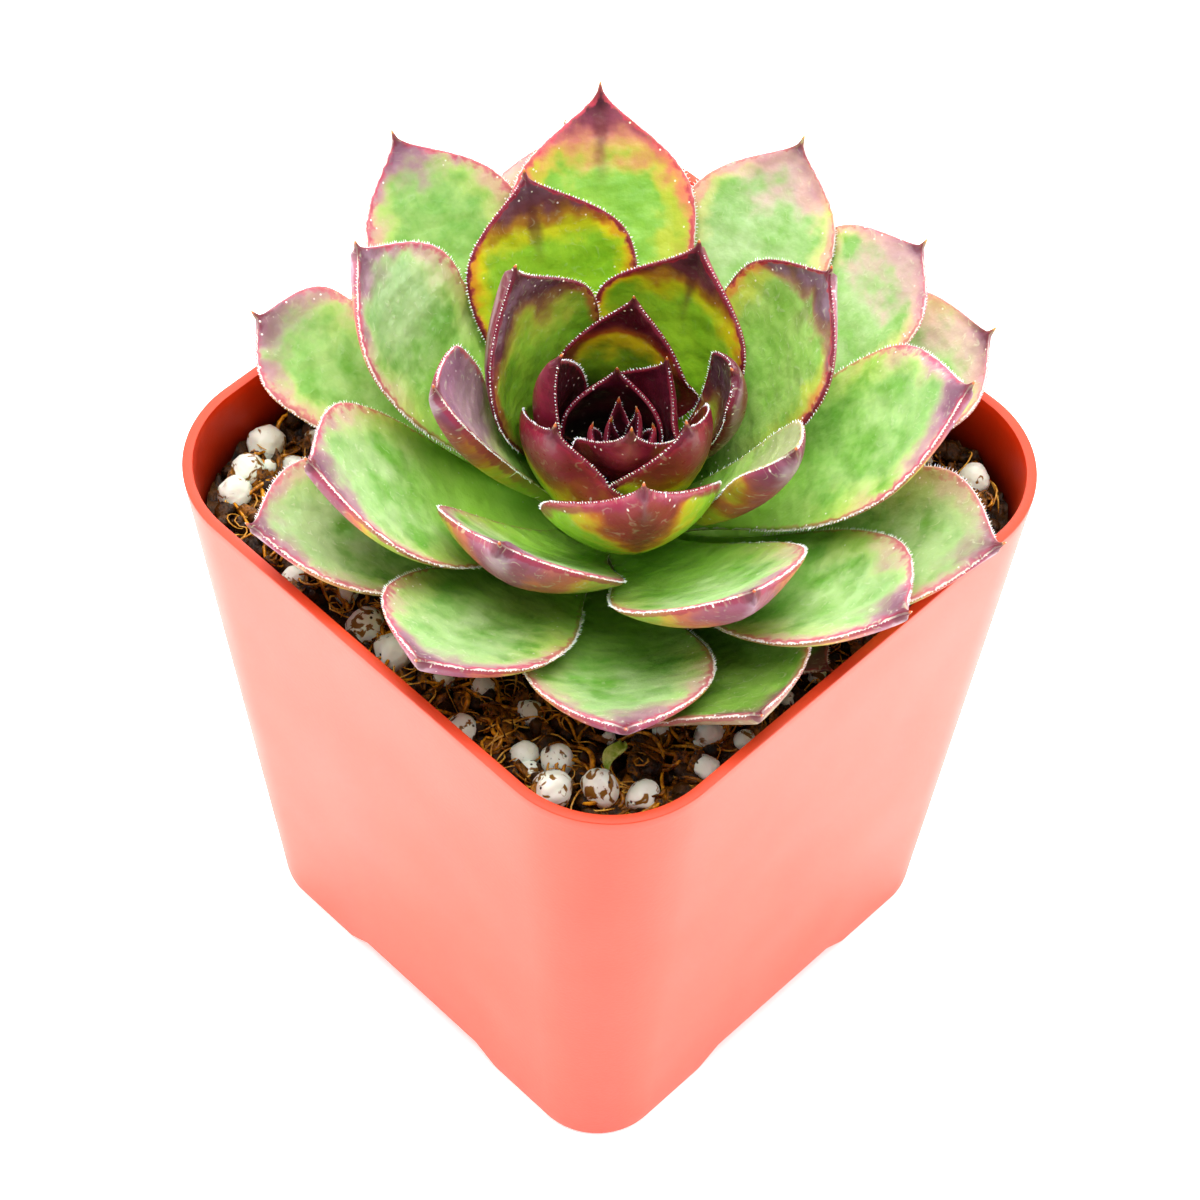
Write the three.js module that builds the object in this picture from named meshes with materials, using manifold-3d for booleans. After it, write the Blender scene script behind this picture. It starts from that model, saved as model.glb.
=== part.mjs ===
// A houseleek rosette (hens and chicks) growing in its small square nursery pot.
// Millimetres, +Z up. The origin is the middle of the flat face under the pot, and
// bearings are counted in degrees from +X towards +Y.

import * as THREE from 'three';
import { mergeVertices } from 'three/addons/utils/BufferGeometryUtils.js';
import Module from 'manifold-3d';

const wasm = await Module();
wasm.setup();

// ---------------------------------------------------------------- driving dimensions

const CLEARANCE = 0.3; // air between neighbouring pieces

const POT = {
  topWidth: 57,
  topCorner: 10.6,
  footWidth: 47,
  footCorner: 6.5,
  height: 62.6,
  wall: 0.9,
  floor: 2,
  arcSteps: 7, // facets round each corner
};

// A shallow channel under the middle of each side lets water out of a drain hole.
const DRAIN = {
  depth: 1,
  footWidth: 20,
  roofWidth: 15,
  reach: 12,
  holeRadius: 2.2,
  holeInset: 6,
};

const SOIL = {
  edgeHeight: 56.4, // soil level along the wall
  dishHeight: 49.8, // soil level under the rosette
  dishInner: 8,
  dishOuter: 26,
  lumpHeight: 0.6,
  rings: 7, // rings of facets from the wall to the middle
  holeFloor: 44,
};

// Expanded perlite grains lying on the soil: [x, y, radius, height above the soil].
const PERLITE = [
  [-25.2, -16.6, 1.6, 0.7],
  [-23.8, -19.8, 1.5, 0.5],
  [-23.1, -22.0, 1.6, 0.5],
  [-21.6, -16.7, 1.2, 0.6],
  [-12.9, -24.4, 1.2, 0.3],
  [-5.0, -23.5, 1.7, 0.4],
  [-1.5, -23.7, 1.7, 0.8],
  [8.0, -24.7, 1.2, 0.5],
  [10.5, -19.5, 1.2, 0.4],
  [17.7, -24.1, 1.7, 0.7],
  [20.3, -21.3, 1.6, 0.8],
  [22.9, -19.0, 1.4, 0.6],
  [15.6, -21.4, 1.6, 0.1],
  [22.6, -10.8, 1.5, 0.2],
  [25.0, -9.2, 1.1, 0.4],
  [20.0, 24.2, 1.5, 0.8],
  [23.0, 20.8, 1.2, 0.7],
  [-22.0, 19.4, 1.6, 0.5],
  [-8.0, 24.4, 1.5, 0.5],
];

// The stem's foot stands in the soil; above its neck the stem follows the feet of the leaves.
const STEM = {
  footZ: 44.6,
  neckZ: 51,
  neckRadius: 4.4,
  tipZ: 61.4,
  tipRadius: 1,
  seat: 0.4, // distance from the stem's side to the feet of the leaves
  sides: 14,
};

// Leaves stand in whorls, listed from the heart outwards. Every leaf of a whorl shares
// its attachment, width, thickness, cup (arc of its cross-section) and curl (how far it
// bends back upright by its tip). Each leaf row holds [bearing, lean from upright, length]
// and, for a leaf broader than its neighbours, its own width.
const WHORLS = [
  {
    name: 'inner', z: 60.8, radius: 1.8, width: 10, thickness: 1.4, cup: 125, curl: 14,
    leaves: [[128, 13, 9.8], [328, 24, 14.5], [84, 25, 11.2]],
  },
  {
    name: 'cup', z: 60, radius: 2.8, width: 13.4, thickness: 1.9, cup: 84, curl: 28,
    leaves: [[222, 15.5, 16], [2, 30.5, 15.3], [274, 28, 14.3], [58, 40, 14.4], [122, 28, 15.2]],
  },
  {
    name: 'upper', z: 58.6, radius: 3.8, width: 15, thickness: 2.6, cup: 62, curl: 23,
    leaves: [[190, 24, 22.6], [324, 38, 22.3], [103, 35, 21], [242, 39, 21.4, 16], [11, 45.5, 22.8, 16]],
  },
  {
    name: 'middle', z: 57, radius: 4.6, width: 15.8, thickness: 2.9, cup: 30, curl: 21,
    leaves: [
      [156, 47.5, 25.4], [69, 42.5, 25.8], [203, 46.2, 29, 15], [288, 49, 22.5, 16.2],
      [340, 55.5, 28.2], [38, 57.5, 31.7, 17], [247, 58.5, 27.8, 17.5],
    ],
  },
  {
    name: 'lower', z: 55.4, radius: 5, width: 15.2, thickness: 2.6, cup: 43, curl: 14,
    leaves: [
      [137, 61, 33], [171, 60, 32.8], [104, 62.5, 32], [74, 60, 31.5, 16.5],
      [1, 63, 31.8], [285, 64, 29.3], [206, 68.5, 30.8, 18],
    ],
  },
  {
    name: 'outer', z: 54, radius: 5.2, width: 15.4, thickness: 2.4, cup: 55, curl: 17,
    leaves: [
      [317, 66, 30.3], [337, 68.5, 29.2], [247, 67, 29.9], [21, 67, 33, 17],
      [62, 69, 32.5, 17.2], [142, 67, 31], [119, 73, 27.5],
    ],
  },
  {
    name: 'spent', z: 53, radius: 5.2, width: 12.6, thickness: 1, cup: 40, curl: 10,
    leaves: [[358, 75, 22]],
  },
];

// The youngest leaves, still closed round the growing point, follow the golden angle.
const HEART = {
  count: 6,
  firstBearing: 205,
  goldenAngle: 137.5,
  z: 61.8,
  radius: 0.5,
  length: [4.2, 8.4],
  width: [3, 6.4],
  lean: [3, 17],
  thickness: 0.9,
  cup: 110,
  curl: 8,
  stations: [0, 0.4, 0.68, 0.9, 1],
  columns: [-1, 0, 1],
};

const LEAF = {
  widest: 0.65, // share of the length where the blade is widest
  neckShare: 0.34, // width at the attachment, as a share of the full width
  margin: 0.6, // thickness of the blade's edge
  endThickness: 0.25, // thickness at both ends of the midrib, as a share of the fullest
  tipHalfWidth: 0.3,
  stations: [0, 0.2, 0.38, 0.54, 0.66, 0.78, 0.88, 0.95, 1],
  columns: [-1, -0.5, 0, 0.5, 1],
  midribSteps: 24,
};

const COLOURS = {
  pot: 0xe8694d,
  soil: 0x2e1f14,
  stem: 0xb9c58a,
  heart: 0x54172a,
  inner: 0x6d2433,
  cup: 0x7f3a3a,
  upper: 0x86903f,
  middle: 0x88b04c,
  lower: 0x8fbb58,
  outer: 0x7fae50,
  spent: 0x5d5a34,
};

// ---------------------------------------------------------------- solids

const radians = THREE.MathUtils.degToRad;
const mix = THREE.MathUtils.lerp;
const clamp = THREE.MathUtils.clamp;

/** A closed solid through rings of points, each end closed by a fan to its ring's middle. */
function loft(rings) {
  const count = rings[0].length;
  const points = rings.flat();
  const index = [];
  for (let r = 0; r + 1 < rings.length; r += 1) {
    for (let i = 0; i < count; i += 1) {
      const a = r * count + i;
      const b = r * count + ((i + 1) % count);
      index.push(a, b, b + count, a, b + count, a + count);
    }
  }
  const last = (rings.length - 1) * count;
  const firstMiddle = points.push(middleOf(rings[0])) - 1;
  const lastMiddle = points.push(middleOf(rings[rings.length - 1])) - 1;
  for (let i = 0; i < count; i += 1) {
    const next = (i + 1) % count;
    index.push(firstMiddle, next, i);
    index.push(lastMiddle, last + i, last + next);
  }
  const geometry = new THREE.BufferGeometry().setFromPoints(points);
  geometry.setIndex(index);
  return geometry;
}

/** The mean of a ring of points. */
function middleOf(ring) {
  const sum = ring.reduce((total, point) => total.add(point), new THREE.Vector3());
  return sum.divideScalar(ring.length);
}

/** Turns a closed geometry into a manifold solid. */
function toSolid(geometry) {
  const bare = new THREE.BufferGeometry();
  bare.setAttribute('position', geometry.getAttribute('position'));
  bare.setIndex(geometry.getIndex());
  const merged = mergeVertices(bare, 1e-5);
  const mesh = new wasm.Mesh({
    numProp: 3,
    vertProperties: new Float32Array(merged.getAttribute('position').array),
    triVerts: new Uint32Array(merged.getIndex().array),
  });
  return new wasm.Manifold(mesh);
}

/** Turns a manifold solid back into a geometry. */
function toGeometry(solid) {
  const mesh = solid.getMesh();
  const geometry = new THREE.BufferGeometry();
  geometry.setAttribute('position', new THREE.BufferAttribute(mesh.vertProperties, 3));
  geometry.setIndex(new THREE.BufferAttribute(mesh.triVerts, 1));
  geometry.computeVertexNormals();
  return geometry;
}

/** The largest of the separate bodies that a cut leaves. */
function largestBody(solid) {
  return solid.decompose().reduce((best, body) => (body.volume() > best.volume() ? body : best));
}

/** Joins solids in one. */
function join(solids) {
  return solids.reduce((total, solid) => total.add(solid));
}

// ---------------------------------------------------------------- pot

/** A ring of points round a square with round corners. */
function squareRing(width, corner, z) {
  const ring = [];
  for (let quarter = 0; quarter < 4; quarter += 1) {
    const diagonal = radians(45 + 90 * quarter);
    const reach = (width / 2 - corner) * Math.SQRT2;
    for (let step = 0; step <= POT.arcSteps; step += 1) {
      const angle = radians(90 * (quarter + step / POT.arcSteps));
      const x = reach * Math.cos(diagonal) + corner * Math.cos(angle);
      const y = reach * Math.sin(diagonal) + corner * Math.sin(angle);
      ring.push(new THREE.Vector3(x, y, z));
    }
  }
  return ring;
}

/** The pot's outline at a height, moved inwards by an inset. */
function potRing(z, inset) {
  const share = z / POT.height;
  const width = mix(POT.footWidth, POT.topWidth, share) - 2 * inset;
  const corner = mix(POT.footCorner, POT.topCorner, share) - inset;
  return squareRing(width, corner, z);
}

/** The channel under one side of the pot, from its middle outwards past the wall. */
function drainChannel() {
  const outline = new THREE.Shape();
  const slack = 1; // how far the cutter reaches past the material
  outline.moveTo(-DRAIN.footWidth / 2, -slack);
  outline.lineTo(DRAIN.footWidth / 2, -slack);
  outline.lineTo(DRAIN.footWidth / 2, 0);
  outline.lineTo(DRAIN.roofWidth / 2, DRAIN.depth);
  outline.lineTo(-DRAIN.roofWidth / 2, DRAIN.depth);
  outline.lineTo(-DRAIN.footWidth / 2, 0);
  outline.closePath();
  const channel = new THREE.ExtrudeGeometry(outline, { depth: DRAIN.reach + slack, bevelEnabled: false });
  channel.rotateX(Math.PI / 2);
  channel.translate(0, POT.footWidth / 2 + slack, 0);
  return toSolid(channel);
}

/** The drain hole that opens into one channel. */
function drainHole() {
  const hole = new THREE.CylinderGeometry(DRAIN.holeRadius, DRAIN.holeRadius, 3 * POT.floor, 16);
  hole.rotateX(Math.PI / 2);
  hole.translate(0, POT.footWidth / 2 - DRAIN.holeInset, POT.floor);
  return toSolid(hole);
}

/** The thin square pot, open at the top, with four drains under its sides. */
function potGeometry() {
  const shell = loft([
    potRing(0, 0),
    potRing(POT.height, 0),
    potRing(POT.height, POT.wall),
    potRing(POT.floor, POT.wall),
  ]);
  const cutters = join([drainChannel(), drainHole()]);
  let pot = toSolid(shell);
  for (let side = 0; side < 4; side += 1) {
    pot = pot.subtract(cutters.rotate([0, 0, 90 * side]));
  }
  return toGeometry(pot);
}

// ---------------------------------------------------------------- soil

/** Height of the soil above a point: level by the wall, dished under the rosette, lumpy. */
function soilHeight(x, y) {
  const dish = THREE.MathUtils.smoothstep(Math.hypot(x, y), SOIL.dishInner, SOIL.dishOuter);
  const level = mix(SOIL.dishHeight, SOIL.edgeHeight, dish);
  const rows = Math.sin(0.9 * x + 1.7 * Math.sin(0.31 * y));
  const columns = Math.cos(0.8 * y + 1.3 * Math.sin(0.37 * x));
  return level + SOIL.lumpHeight * rows * columns;
}

/** One perlite grain, half sunk in the soil. */
function perliteGrain([x, y, radius, rise]) {
  const grain = new THREE.IcosahedronGeometry(radius, 1);
  grain.rotateZ(x + y);
  grain.translate(x, y, soilHeight(x, y) + rise);
  return toSolid(mergeVertices(grain.deleteAttribute('normal').deleteAttribute('uv')));
}

/** The hole that the stem stands in. */
function stemHole() {
  const radius = STEM.neckRadius + CLEARANCE;
  const hole = new THREE.CylinderGeometry(radius, radius, SOIL.edgeHeight, STEM.sides);
  hole.rotateX(Math.PI / 2);
  hole.translate(0, 0, SOIL.holeFloor + SOIL.edgeHeight / 2);
  return toSolid(hole);
}

/** The root ball with its rough top and the perlite grains that are set in it. */
function soilGeometry() {
  const inset = POT.wall + CLEARANCE;
  const outline = potRing(SOIL.edgeHeight, inset);
  const rings = [potRing(POT.floor + CLEARANCE, inset)];
  for (let step = 0; step < SOIL.rings; step += 1) {
    const share = 1 - step / SOIL.rings;
    const flat = outline.map((point) => point.clone().multiplyScalar(share));
    rings.push(flat.map(({ x, y }) => new THREE.Vector3(x, y, soilHeight(x, y))));
  }
  const ball = toSolid(loft(rings));
  return toGeometry(join([ball, ...PERLITE.map(perliteGrain)]).subtract(stemHole()));
}

// ---------------------------------------------------------------- leaves

/** Half width of the blade at the share s of its length, from 0 to 1. */
function widthShare(s) {
  if (s < LEAF.widest) {
    const swell = Math.sin((Math.PI / 2) * (Math.max(s, 0) / LEAF.widest)) ** 2;
    return mix(LEAF.neckShare, 1, swell);
  }
  const t = Math.min((s - LEAF.widest) / (1 - LEAF.widest), 1);
  return Math.cos((Math.PI / 2) * t ** 1.15) * (1 - 0.45 * t ** 3);
}

/** Thickness along the midrib at the share s of the length, as a share of the fullest. */
function thicknessShare(s) {
  return mix(LEAF.endThickness, 1, Math.sin(Math.PI * clamp(s, 0, 1) ** 1.25) ** 0.6);
}

/** Angle of the midrib from upright at the share s of its length, in radians. */
function midribAngle(leaf, s) {
  return radians(leaf.lean - leaf.curl * clamp(s, 0, 1) ** 1.6);
}

/** Where the midrib is, and which way it faces, at the share s of its length. */
function midribFrame(leaf, s) {
  let out = leaf.radius;
  let up = leaf.z;
  const step = (s * leaf.length) / LEAF.midribSteps;
  for (let i = 0; i < LEAF.midribSteps; i += 1) {
    const angle = midribAngle(leaf, (s * (i + 0.5)) / LEAF.midribSteps);
    out += step * Math.sin(angle);
    up += step * Math.cos(angle);
  }
  const angle = midribAngle(leaf, s);
  const bearing = radians(leaf.bearing);
  const outward = new THREE.Vector3(Math.cos(bearing), Math.sin(bearing), 0);
  return {
    point: outward.clone().multiplyScalar(out).setZ(up),
    across: new THREE.Vector3(-Math.sin(bearing), Math.cos(bearing), 0),
    face: outward.clone().multiplyScalar(-Math.cos(angle)).setZ(Math.sin(angle)),
  };
}

/** The ring of points round the blade at the share s, grown outwards by a margin. */
function leafRing(leaf, s, grow) {
  const { point, across, face } = midribFrame(leaf, s);
  const half = Math.max((leaf.width / 2) * widthShare(s), LEAF.tipHalfWidth) + grow;
  const bend = leaf.width / radians(leaf.cup); // radius of the cupped cross-section
  const full = Math.max(leaf.thickness * thicknessShare(s), LEAF.margin);
  const upper = [];
  const lower = [];
  for (const v of leaf.columns) {
    const angle = (v * half) / bend;
    const normal = face.clone().multiplyScalar(Math.cos(angle)).addScaledVector(across, -Math.sin(angle));
    const surface = point.clone().addScaledVector(across, bend * Math.sin(angle));
    surface.addScaledVector(face, bend * (1 - Math.cos(angle)));
    const depth = mix(full, LEAF.margin, Math.abs(v) ** 1.6);
    lower.push(surface.clone().addScaledVector(normal, -depth - grow));
    upper.unshift(surface.clone().addScaledVector(normal, grow));
  }
  return [...lower, ...upper];
}

/** One whole leaf, grown outwards by a margin. */
function leafSolid(leaf, grow = 0) {
  const ends = grow / leaf.length;
  const rings = leaf.stations.map((s) => leafRing(leaf, mix(-ends, 1 + ends, s), grow));
  return toSolid(loft(rings));
}

/** The leaves of the closed heart, oldest last. */
function heartLeaves() {
  return Array.from({ length: HEART.count }, (_, i) => {
    const age = i / (HEART.count - 1);
    return {
      bearing: HEART.firstBearing + i * HEART.goldenAngle,
      lean: mix(...HEART.lean, age),
      length: mix(...HEART.length, age),
      width: mix(...HEART.width, age),
      z: HEART.z,
      radius: HEART.radius,
      thickness: HEART.thickness,
      cup: HEART.cup,
      curl: HEART.curl,
      stations: HEART.stations,
      columns: HEART.columns,
    };
  });
}

// ---------------------------------------------------------------- stem

/** The short stem: a straight foot in the soil and a crown that narrows past every whorl. */
function stemSolid(grow = 0) {
  const seats = WHORLS.map(({ z, radius }) => new THREE.Vector2(radius - STEM.seat + grow, z));
  const profile = [
    new THREE.Vector2(0, STEM.footZ - grow),
    new THREE.Vector2(STEM.neckRadius + grow, STEM.footZ - grow),
    new THREE.Vector2(STEM.neckRadius + grow, STEM.neckZ),
    ...seats.reverse(),
    new THREE.Vector2(STEM.tipRadius + grow, STEM.tipZ + grow),
    new THREE.Vector2(0, STEM.tipZ + grow),
  ];
  const stem = new THREE.LatheGeometry(profile, STEM.sides);
  stem.rotateX(Math.PI / 2);
  return toSolid(stem);
}

// ---------------------------------------------------------------- assembly

/** A named mesh of one piece. */
function piece(name, geometry, colour, roughness) {
  const material = new THREE.MeshStandardMaterial({ color: colour, roughness, flatShading: true });
  const mesh = new THREE.Mesh(geometry, material);
  mesh.name = name;
  return mesh;
}

/** Every leaf of every whorl, cut clear of the stem, the heart and the leaves inside it. */
function leafMeshes(taken) {
  const meshes = [];
  for (const { name, leaves, ...whorl } of WHORLS) {
    leaves.forEach(([bearing, lean, length, width = whorl.width], i) => {
      const leaf = { ...LEAF, ...whorl, bearing, lean, length, width };
      const clear = taken.reduce((solid, other) => solid.subtract(other), leafSolid(leaf));
      taken.push(leafSolid(leaf, CLEARANCE));
      const number = String(i + 1).padStart(2, '0');
      meshes.push(piece(`leaf_${name}_${number}`, toGeometry(largestBody(clear)), COLOURS[name], 0.55));
    });
  }
  return meshes;
}

const heartLeaf = heartLeaves();
const grownHeart = join(heartLeaf.map((leaf) => leafSolid(leaf, CLEARANCE)));
const grownStem = stemSolid(CLEARANCE);
const heart = largestBody(join(heartLeaf.map((leaf) => leafSolid(leaf))).subtract(grownStem));

const group = new THREE.Group();
group.name = 'hens_and_chicks';
group.add(piece('pot', potGeometry(), COLOURS.pot, 0.4));
group.add(piece('potting_soil', soilGeometry(), COLOURS.soil, 0.95));
group.add(piece('stem', toGeometry(stemSolid()), COLOURS.stem, 0.7));
group.add(piece('heart', toGeometry(heart), COLOURS.heart, 0.5));
leafMeshes([grownStem, grownHeart]).forEach((mesh) => group.add(mesh));

export default group;
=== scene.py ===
"""A houseleek rosette growing in a square nursery pot, finished over its CAD solids.

Forms are worked out in millimetres and become metres when a mesh is placed. The origin
is the middle of the pot's foot, +Z is up, and bearings are degrees from +X towards +Y.
"""

import sys

import logging
import math
from collections.abc import Callable
from dataclasses import dataclass, field
from enum import Enum
from functools import partial
from typing import Any

import bpy
import numpy as np
from mathutils import Matrix, Vector, noise
from mathutils.bvhtree import BVHTree


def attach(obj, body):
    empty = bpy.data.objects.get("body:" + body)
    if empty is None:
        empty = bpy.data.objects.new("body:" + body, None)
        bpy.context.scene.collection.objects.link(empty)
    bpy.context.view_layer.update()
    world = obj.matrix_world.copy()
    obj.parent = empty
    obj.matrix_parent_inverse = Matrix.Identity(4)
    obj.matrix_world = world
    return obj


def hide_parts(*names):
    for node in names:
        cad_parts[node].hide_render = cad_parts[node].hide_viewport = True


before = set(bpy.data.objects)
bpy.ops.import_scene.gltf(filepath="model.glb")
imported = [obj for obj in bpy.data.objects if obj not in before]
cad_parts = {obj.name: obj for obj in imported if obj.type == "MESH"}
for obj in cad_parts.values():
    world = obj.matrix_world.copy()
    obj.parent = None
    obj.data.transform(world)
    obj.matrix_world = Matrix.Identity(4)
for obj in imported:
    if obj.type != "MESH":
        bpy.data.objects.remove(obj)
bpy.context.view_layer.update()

MM = 0.001
BODY = "root"
# A full turn, for angles drawn by chance.
TURN = 6.28
UP = np.array([0, 0, 1])
Array = np.ndarray
Material = bpy.types.Material
Node = bpy.types.Node
Piece = bpy.types.Object
log = logging.getLogger("houseleek")


# ---------------------------------------------------------------- small tools


def linear(code: str) -> tuple[float, float, float, float]:
    """Turns an sRGB hex colour into linear light.

    Args:
        code: Six hex digits.

    Returns:
        Red, green, blue and a full alpha.
    """
    channels = [int(code[i : i + 2], 16) / 255 for i in (0, 2, 4)]
    light = [c / 12.92 if c <= 0.04045 else ((c + 0.055) / 1.055) ** 2.4 for c in channels]
    return light[0], light[1], light[2], 1.0


def mix(a: Any, b: Any, share: Any) -> Any:
    """Goes from a to b by a share."""
    return a + (b - a) * share


def smooth(value: Any, start: float, end: float) -> Any:
    """Rises smoothly from 0 at start to 1 at end."""
    t = np.clip((value - start) / (end - start), 0.0, 1.0)
    return t * t * (3 - 2 * t)


def past_corner(x: Any, y: Any, half: float, corner: float) -> tuple[Any, Any]:
    """How far a point of a rounded square lies beyond its corner's centre, both ways."""
    return np.maximum(abs(x) - half + corner, 0), np.maximum(abs(y) - half + corner, 0)


def add_node(tree: bpy.types.NodeTree, kind: str, inputs: dict | None = None, **settings: Any) -> Node:
    """Adds one shader node with its settings and what goes into its sockets.

    Args:
        tree: The material's node tree.
        kind: The node's type, without its prefix.
        inputs: For each socket's name or number, a value, or the socket or node that feeds it.
        **settings: The node's own properties.

    Returns:
        The new node.
    """
    made = tree.nodes.new("ShaderNode" + kind)
    for name, value in settings.items():
        setattr(made, name, value)
    for key, value in (inputs or {}).items():
        if isinstance(value, Node):
            # The third output of a mix is its colour.
            value = value.outputs[2 if value.bl_idname == "ShaderNodeMix" else 0]
        if isinstance(value, bpy.types.NodeSocket):
            tree.links.new(value, made.inputs[key])
        else:
            made.inputs[key].default_value = value
    return made


def new_material(name: str) -> tuple[Material, Callable[..., Node]]:
    """Makes a material without nodes.

    Args:
        name: The material's name.

    Returns:
        The material, and add_node bound to its tree.
    """
    material = bpy.data.materials.new(name)
    material.use_nodes = True
    material.node_tree.nodes.clear()
    return material, partial(add_node, material.node_tree)


def choose(piece: Piece) -> None:
    """Makes one object the only selected and the active one.

    Args:
        piece: The object.
    """
    bpy.ops.object.select_all(action="DESELECT")
    piece.select_set(True)
    bpy.context.view_layer.objects.active = piece


def apply_modifier(piece: Piece, kind: str, **settings: Any) -> None:
    """Adds a modifier and applies it.

    Args:
        piece: The object to change.
        kind: The modifier's type.
        **settings: The modifier's own properties.
    """
    choose(piece)
    modifier = piece.modifiers.new(kind.title(), kind)
    for name, value in settings.items():
        setattr(modifier, name, value)
    bpy.ops.object.modifier_apply(modifier=modifier.name)


def points_of(piece: Piece) -> Array:
    """Reads a mesh's points.

    Args:
        piece: The object.

    Returns:
        One row for each point, in the mesh's own units.
    """
    found = np.empty(len(piece.data.vertices) * 3)
    piece.data.vertices.foreach_get("co", found)
    return found.reshape(-1, 3)


def place_points(piece: Piece, points: Array) -> None:
    """Moves a mesh's points to places in millimetres."""
    piece.data.vertices.foreach_set("co", (points * MM).astype(np.float32).ravel())
    piece.data.update()


def store(piece: Piece, name: str, values: Array) -> None:
    """Keeps a number or a vector for each point as an attribute.

    Args:
        piece: The object.
        name: The attribute's name.
        values: One number or one row for each point.
    """
    plain = values.ndim == 1
    layer = piece.data.attributes.new(name, "FLOAT" if plain else "FLOAT_VECTOR", "POINT")
    layer.data.foreach_set("value" if plain else "vector", values.astype(np.float32).ravel())


def add_shape(name: str, operator: Callable[..., set[str]], **settings: Any) -> Piece:
    """Adds a primitive.

    Args:
        name: Name of the new object.
        operator: Blender's operator that adds it.
        **settings: What goes to the operator.

    Returns:
        The new object, selected and active.
    """
    bpy.ops.object.select_all(action="DESELECT")
    operator(**settings)
    piece = bpy.context.active_object
    piece.name = piece.data.name = name
    return piece


def add_grid(name: str, across: int, along: int) -> Piece:
    """Adds a flat grid from -1 to 1 both ways."""
    return add_shape(
        name, bpy.ops.mesh.primitive_grid_add, x_subdivisions=across, y_subdivisions=along, size=2
    )


def join(parts: list[Piece], name: str) -> Piece:
    """Joins objects.

    Args:
        parts: The objects; the first of them takes up the others.
        name: Name of what they become.

    Returns:
        The first object.
    """
    choose(parts[0])
    for part in parts[1:]:
        part.select_set(True)
    bpy.ops.object.join()
    parts[0].name = parts[0].data.name = name
    return parts[0]


def shade_smooth(piece: Piece) -> None:
    """Shades a piece smoothly all over."""
    choose(piece)
    bpy.ops.object.shade_smooth()


def settle(piece: Piece, node: str = "") -> None:
    """Makes a finished piece ride on the part.

    Args:
        piece: The piece.
        node: The CAD node that it stands for, if there is one.
    """
    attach(piece, BODY)
    if node:
        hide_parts(node)
    log.info("%s: %d triangles", piece.name, sum(len(face.vertices) - 2 for face in piece.data.polygons))


@dataclass
class Stamp:
    """A small shape that is modelled once and copied many times."""

    points: Array
    faces: Array

    @classmethod
    def taken_from(cls, piece: Piece) -> "Stamp":
        """Takes the shape of an object and removes the object.

        Args:
            piece: The object.

        Returns:
            Its shape, in triangles.
        """
        apply_modifier(piece, "TRIANGULATE")
        faces = np.array([tuple(face.vertices) for face in piece.data.polygons])
        stamp = cls(points_of(piece), faces)
        bpy.data.objects.remove(piece)
        return stamp

    def copies(self, name: str, placed: list[Array], material: Material) -> Piece:
        """Makes one mesh of copies.

        Args:
            name: Name of the new object.
            placed: For each copy, its points in millimetres.
            material: What all the copies are made of.

        Returns:
            The new object.
        """
        mesh = bpy.data.meshes.new(name)
        size = len(self.points)
        faces = np.concatenate([self.faces + i * size for i in range(len(placed))])
        mesh.from_pydata((np.concatenate(placed) * MM).tolist(), [], faces.tolist())
        piece = bpy.data.objects.new(name, mesh)
        bpy.context.scene.collection.objects.link(piece)
        piece.data.materials.append(material)
        shade_smooth(piece)
        return piece


@dataclass(frozen=True)
class Grained:
    """A substance in two tones that follow its grain, whose size is in millimetres along each axis."""

    name: str
    low: str
    high: str
    grain: tuple[float, float, float]
    roughness: float
    detail: float = 2.0
    ragged: float = 0.5
    contrast: tuple[float, float] | None = None
    relief: tuple[float, float] | None = None
    surface: dict[str, Any] = field(default_factory=dict)

    def build(self) -> Material:
        """Makes the material.

        Returns:
            The material, whose relief is a strength and a depth in millimetres.
        """
        material, add = new_material(self.name)
        place = add("TexCoord").outputs["Object"]
        cells = add("Mapping", {"Vector": place, "Scale": [1 / MM / size for size in self.grain]})
        grain = add(
            "TexNoise", {"Vector": cells, "Scale": 1.0, "Detail": self.detail, "Roughness": self.ragged}
        )
        share = grain
        if self.contrast:
            low, high = self.contrast
            share = add(
                "MapRange",
                {"Value": grain, "From Min": low, "From Max": high},
                interpolation_type="SMOOTHSTEP",
            )
        colour = add("Mix", {0: share, 6: linear(self.low), 7: linear(self.high)}, data_type="RGBA")
        surface = {"Base Color": colour, "Roughness": self.roughness, **self.surface}
        if self.relief:
            strength, depth = self.relief
            surface["Normal"] = add("Bump", {"Height": grain, "Strength": strength, "Distance": depth * MM})
        add("OutputMaterial", {"Surface": add("BsdfPrincipled", surface)})
        return material


# ---------------------------------------------------------------- leaf colours


class Measure(Enum):
    """What a colour zone of a leaf is measured by, in millimetres."""

    EDGE = "from the nearer side edge"
    TIP = "back from the end of the blade"
    MIDRIB = "from the midrib"
    FOOT = "from the foot of the leaf"
    CREST = "from the outline near the tip"
    WEDGE = "from a wedge that narrows from the tip down the midrib"


class Grain(Enum):
    """The two sizes of mottling, in millimetres."""

    COARSE = 3.2
    FINE = 0.7


class Channel(Enum):
    """What may differ from leaf to leaf under one skin."""

    BLUSH = "X"
    STREAK = "Y"
    BLOOM = "Z"


EDGE, TIP, MIDRIB, FOOT, CREST, WEDGE = Measure
COARSE, FINE = Grain
BLUSH, STREAK, BLOOM = Channel


@dataclass(frozen=True)
class Zone:
    """A colour that is laid over the earlier ones where a measure lies near full.

    It may keep near the tip: near_tip tells how far back it is gone and how far back it is full.
    """

    colour: str
    measure: Measure
    gone: float
    full: float
    strength: float = 1.0
    wobble: float = 0.0
    near_tip: tuple[float, float] | None = None
    channel: Channel | None = None
    grain: Grain = COARSE


@dataclass(frozen=True)
class Mood:
    """How strongly one leaf shows its blush, its midrib streak and its bloom."""

    blush: float = 1.0
    streak: float = 0.0
    bloom: float = 0.3


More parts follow.
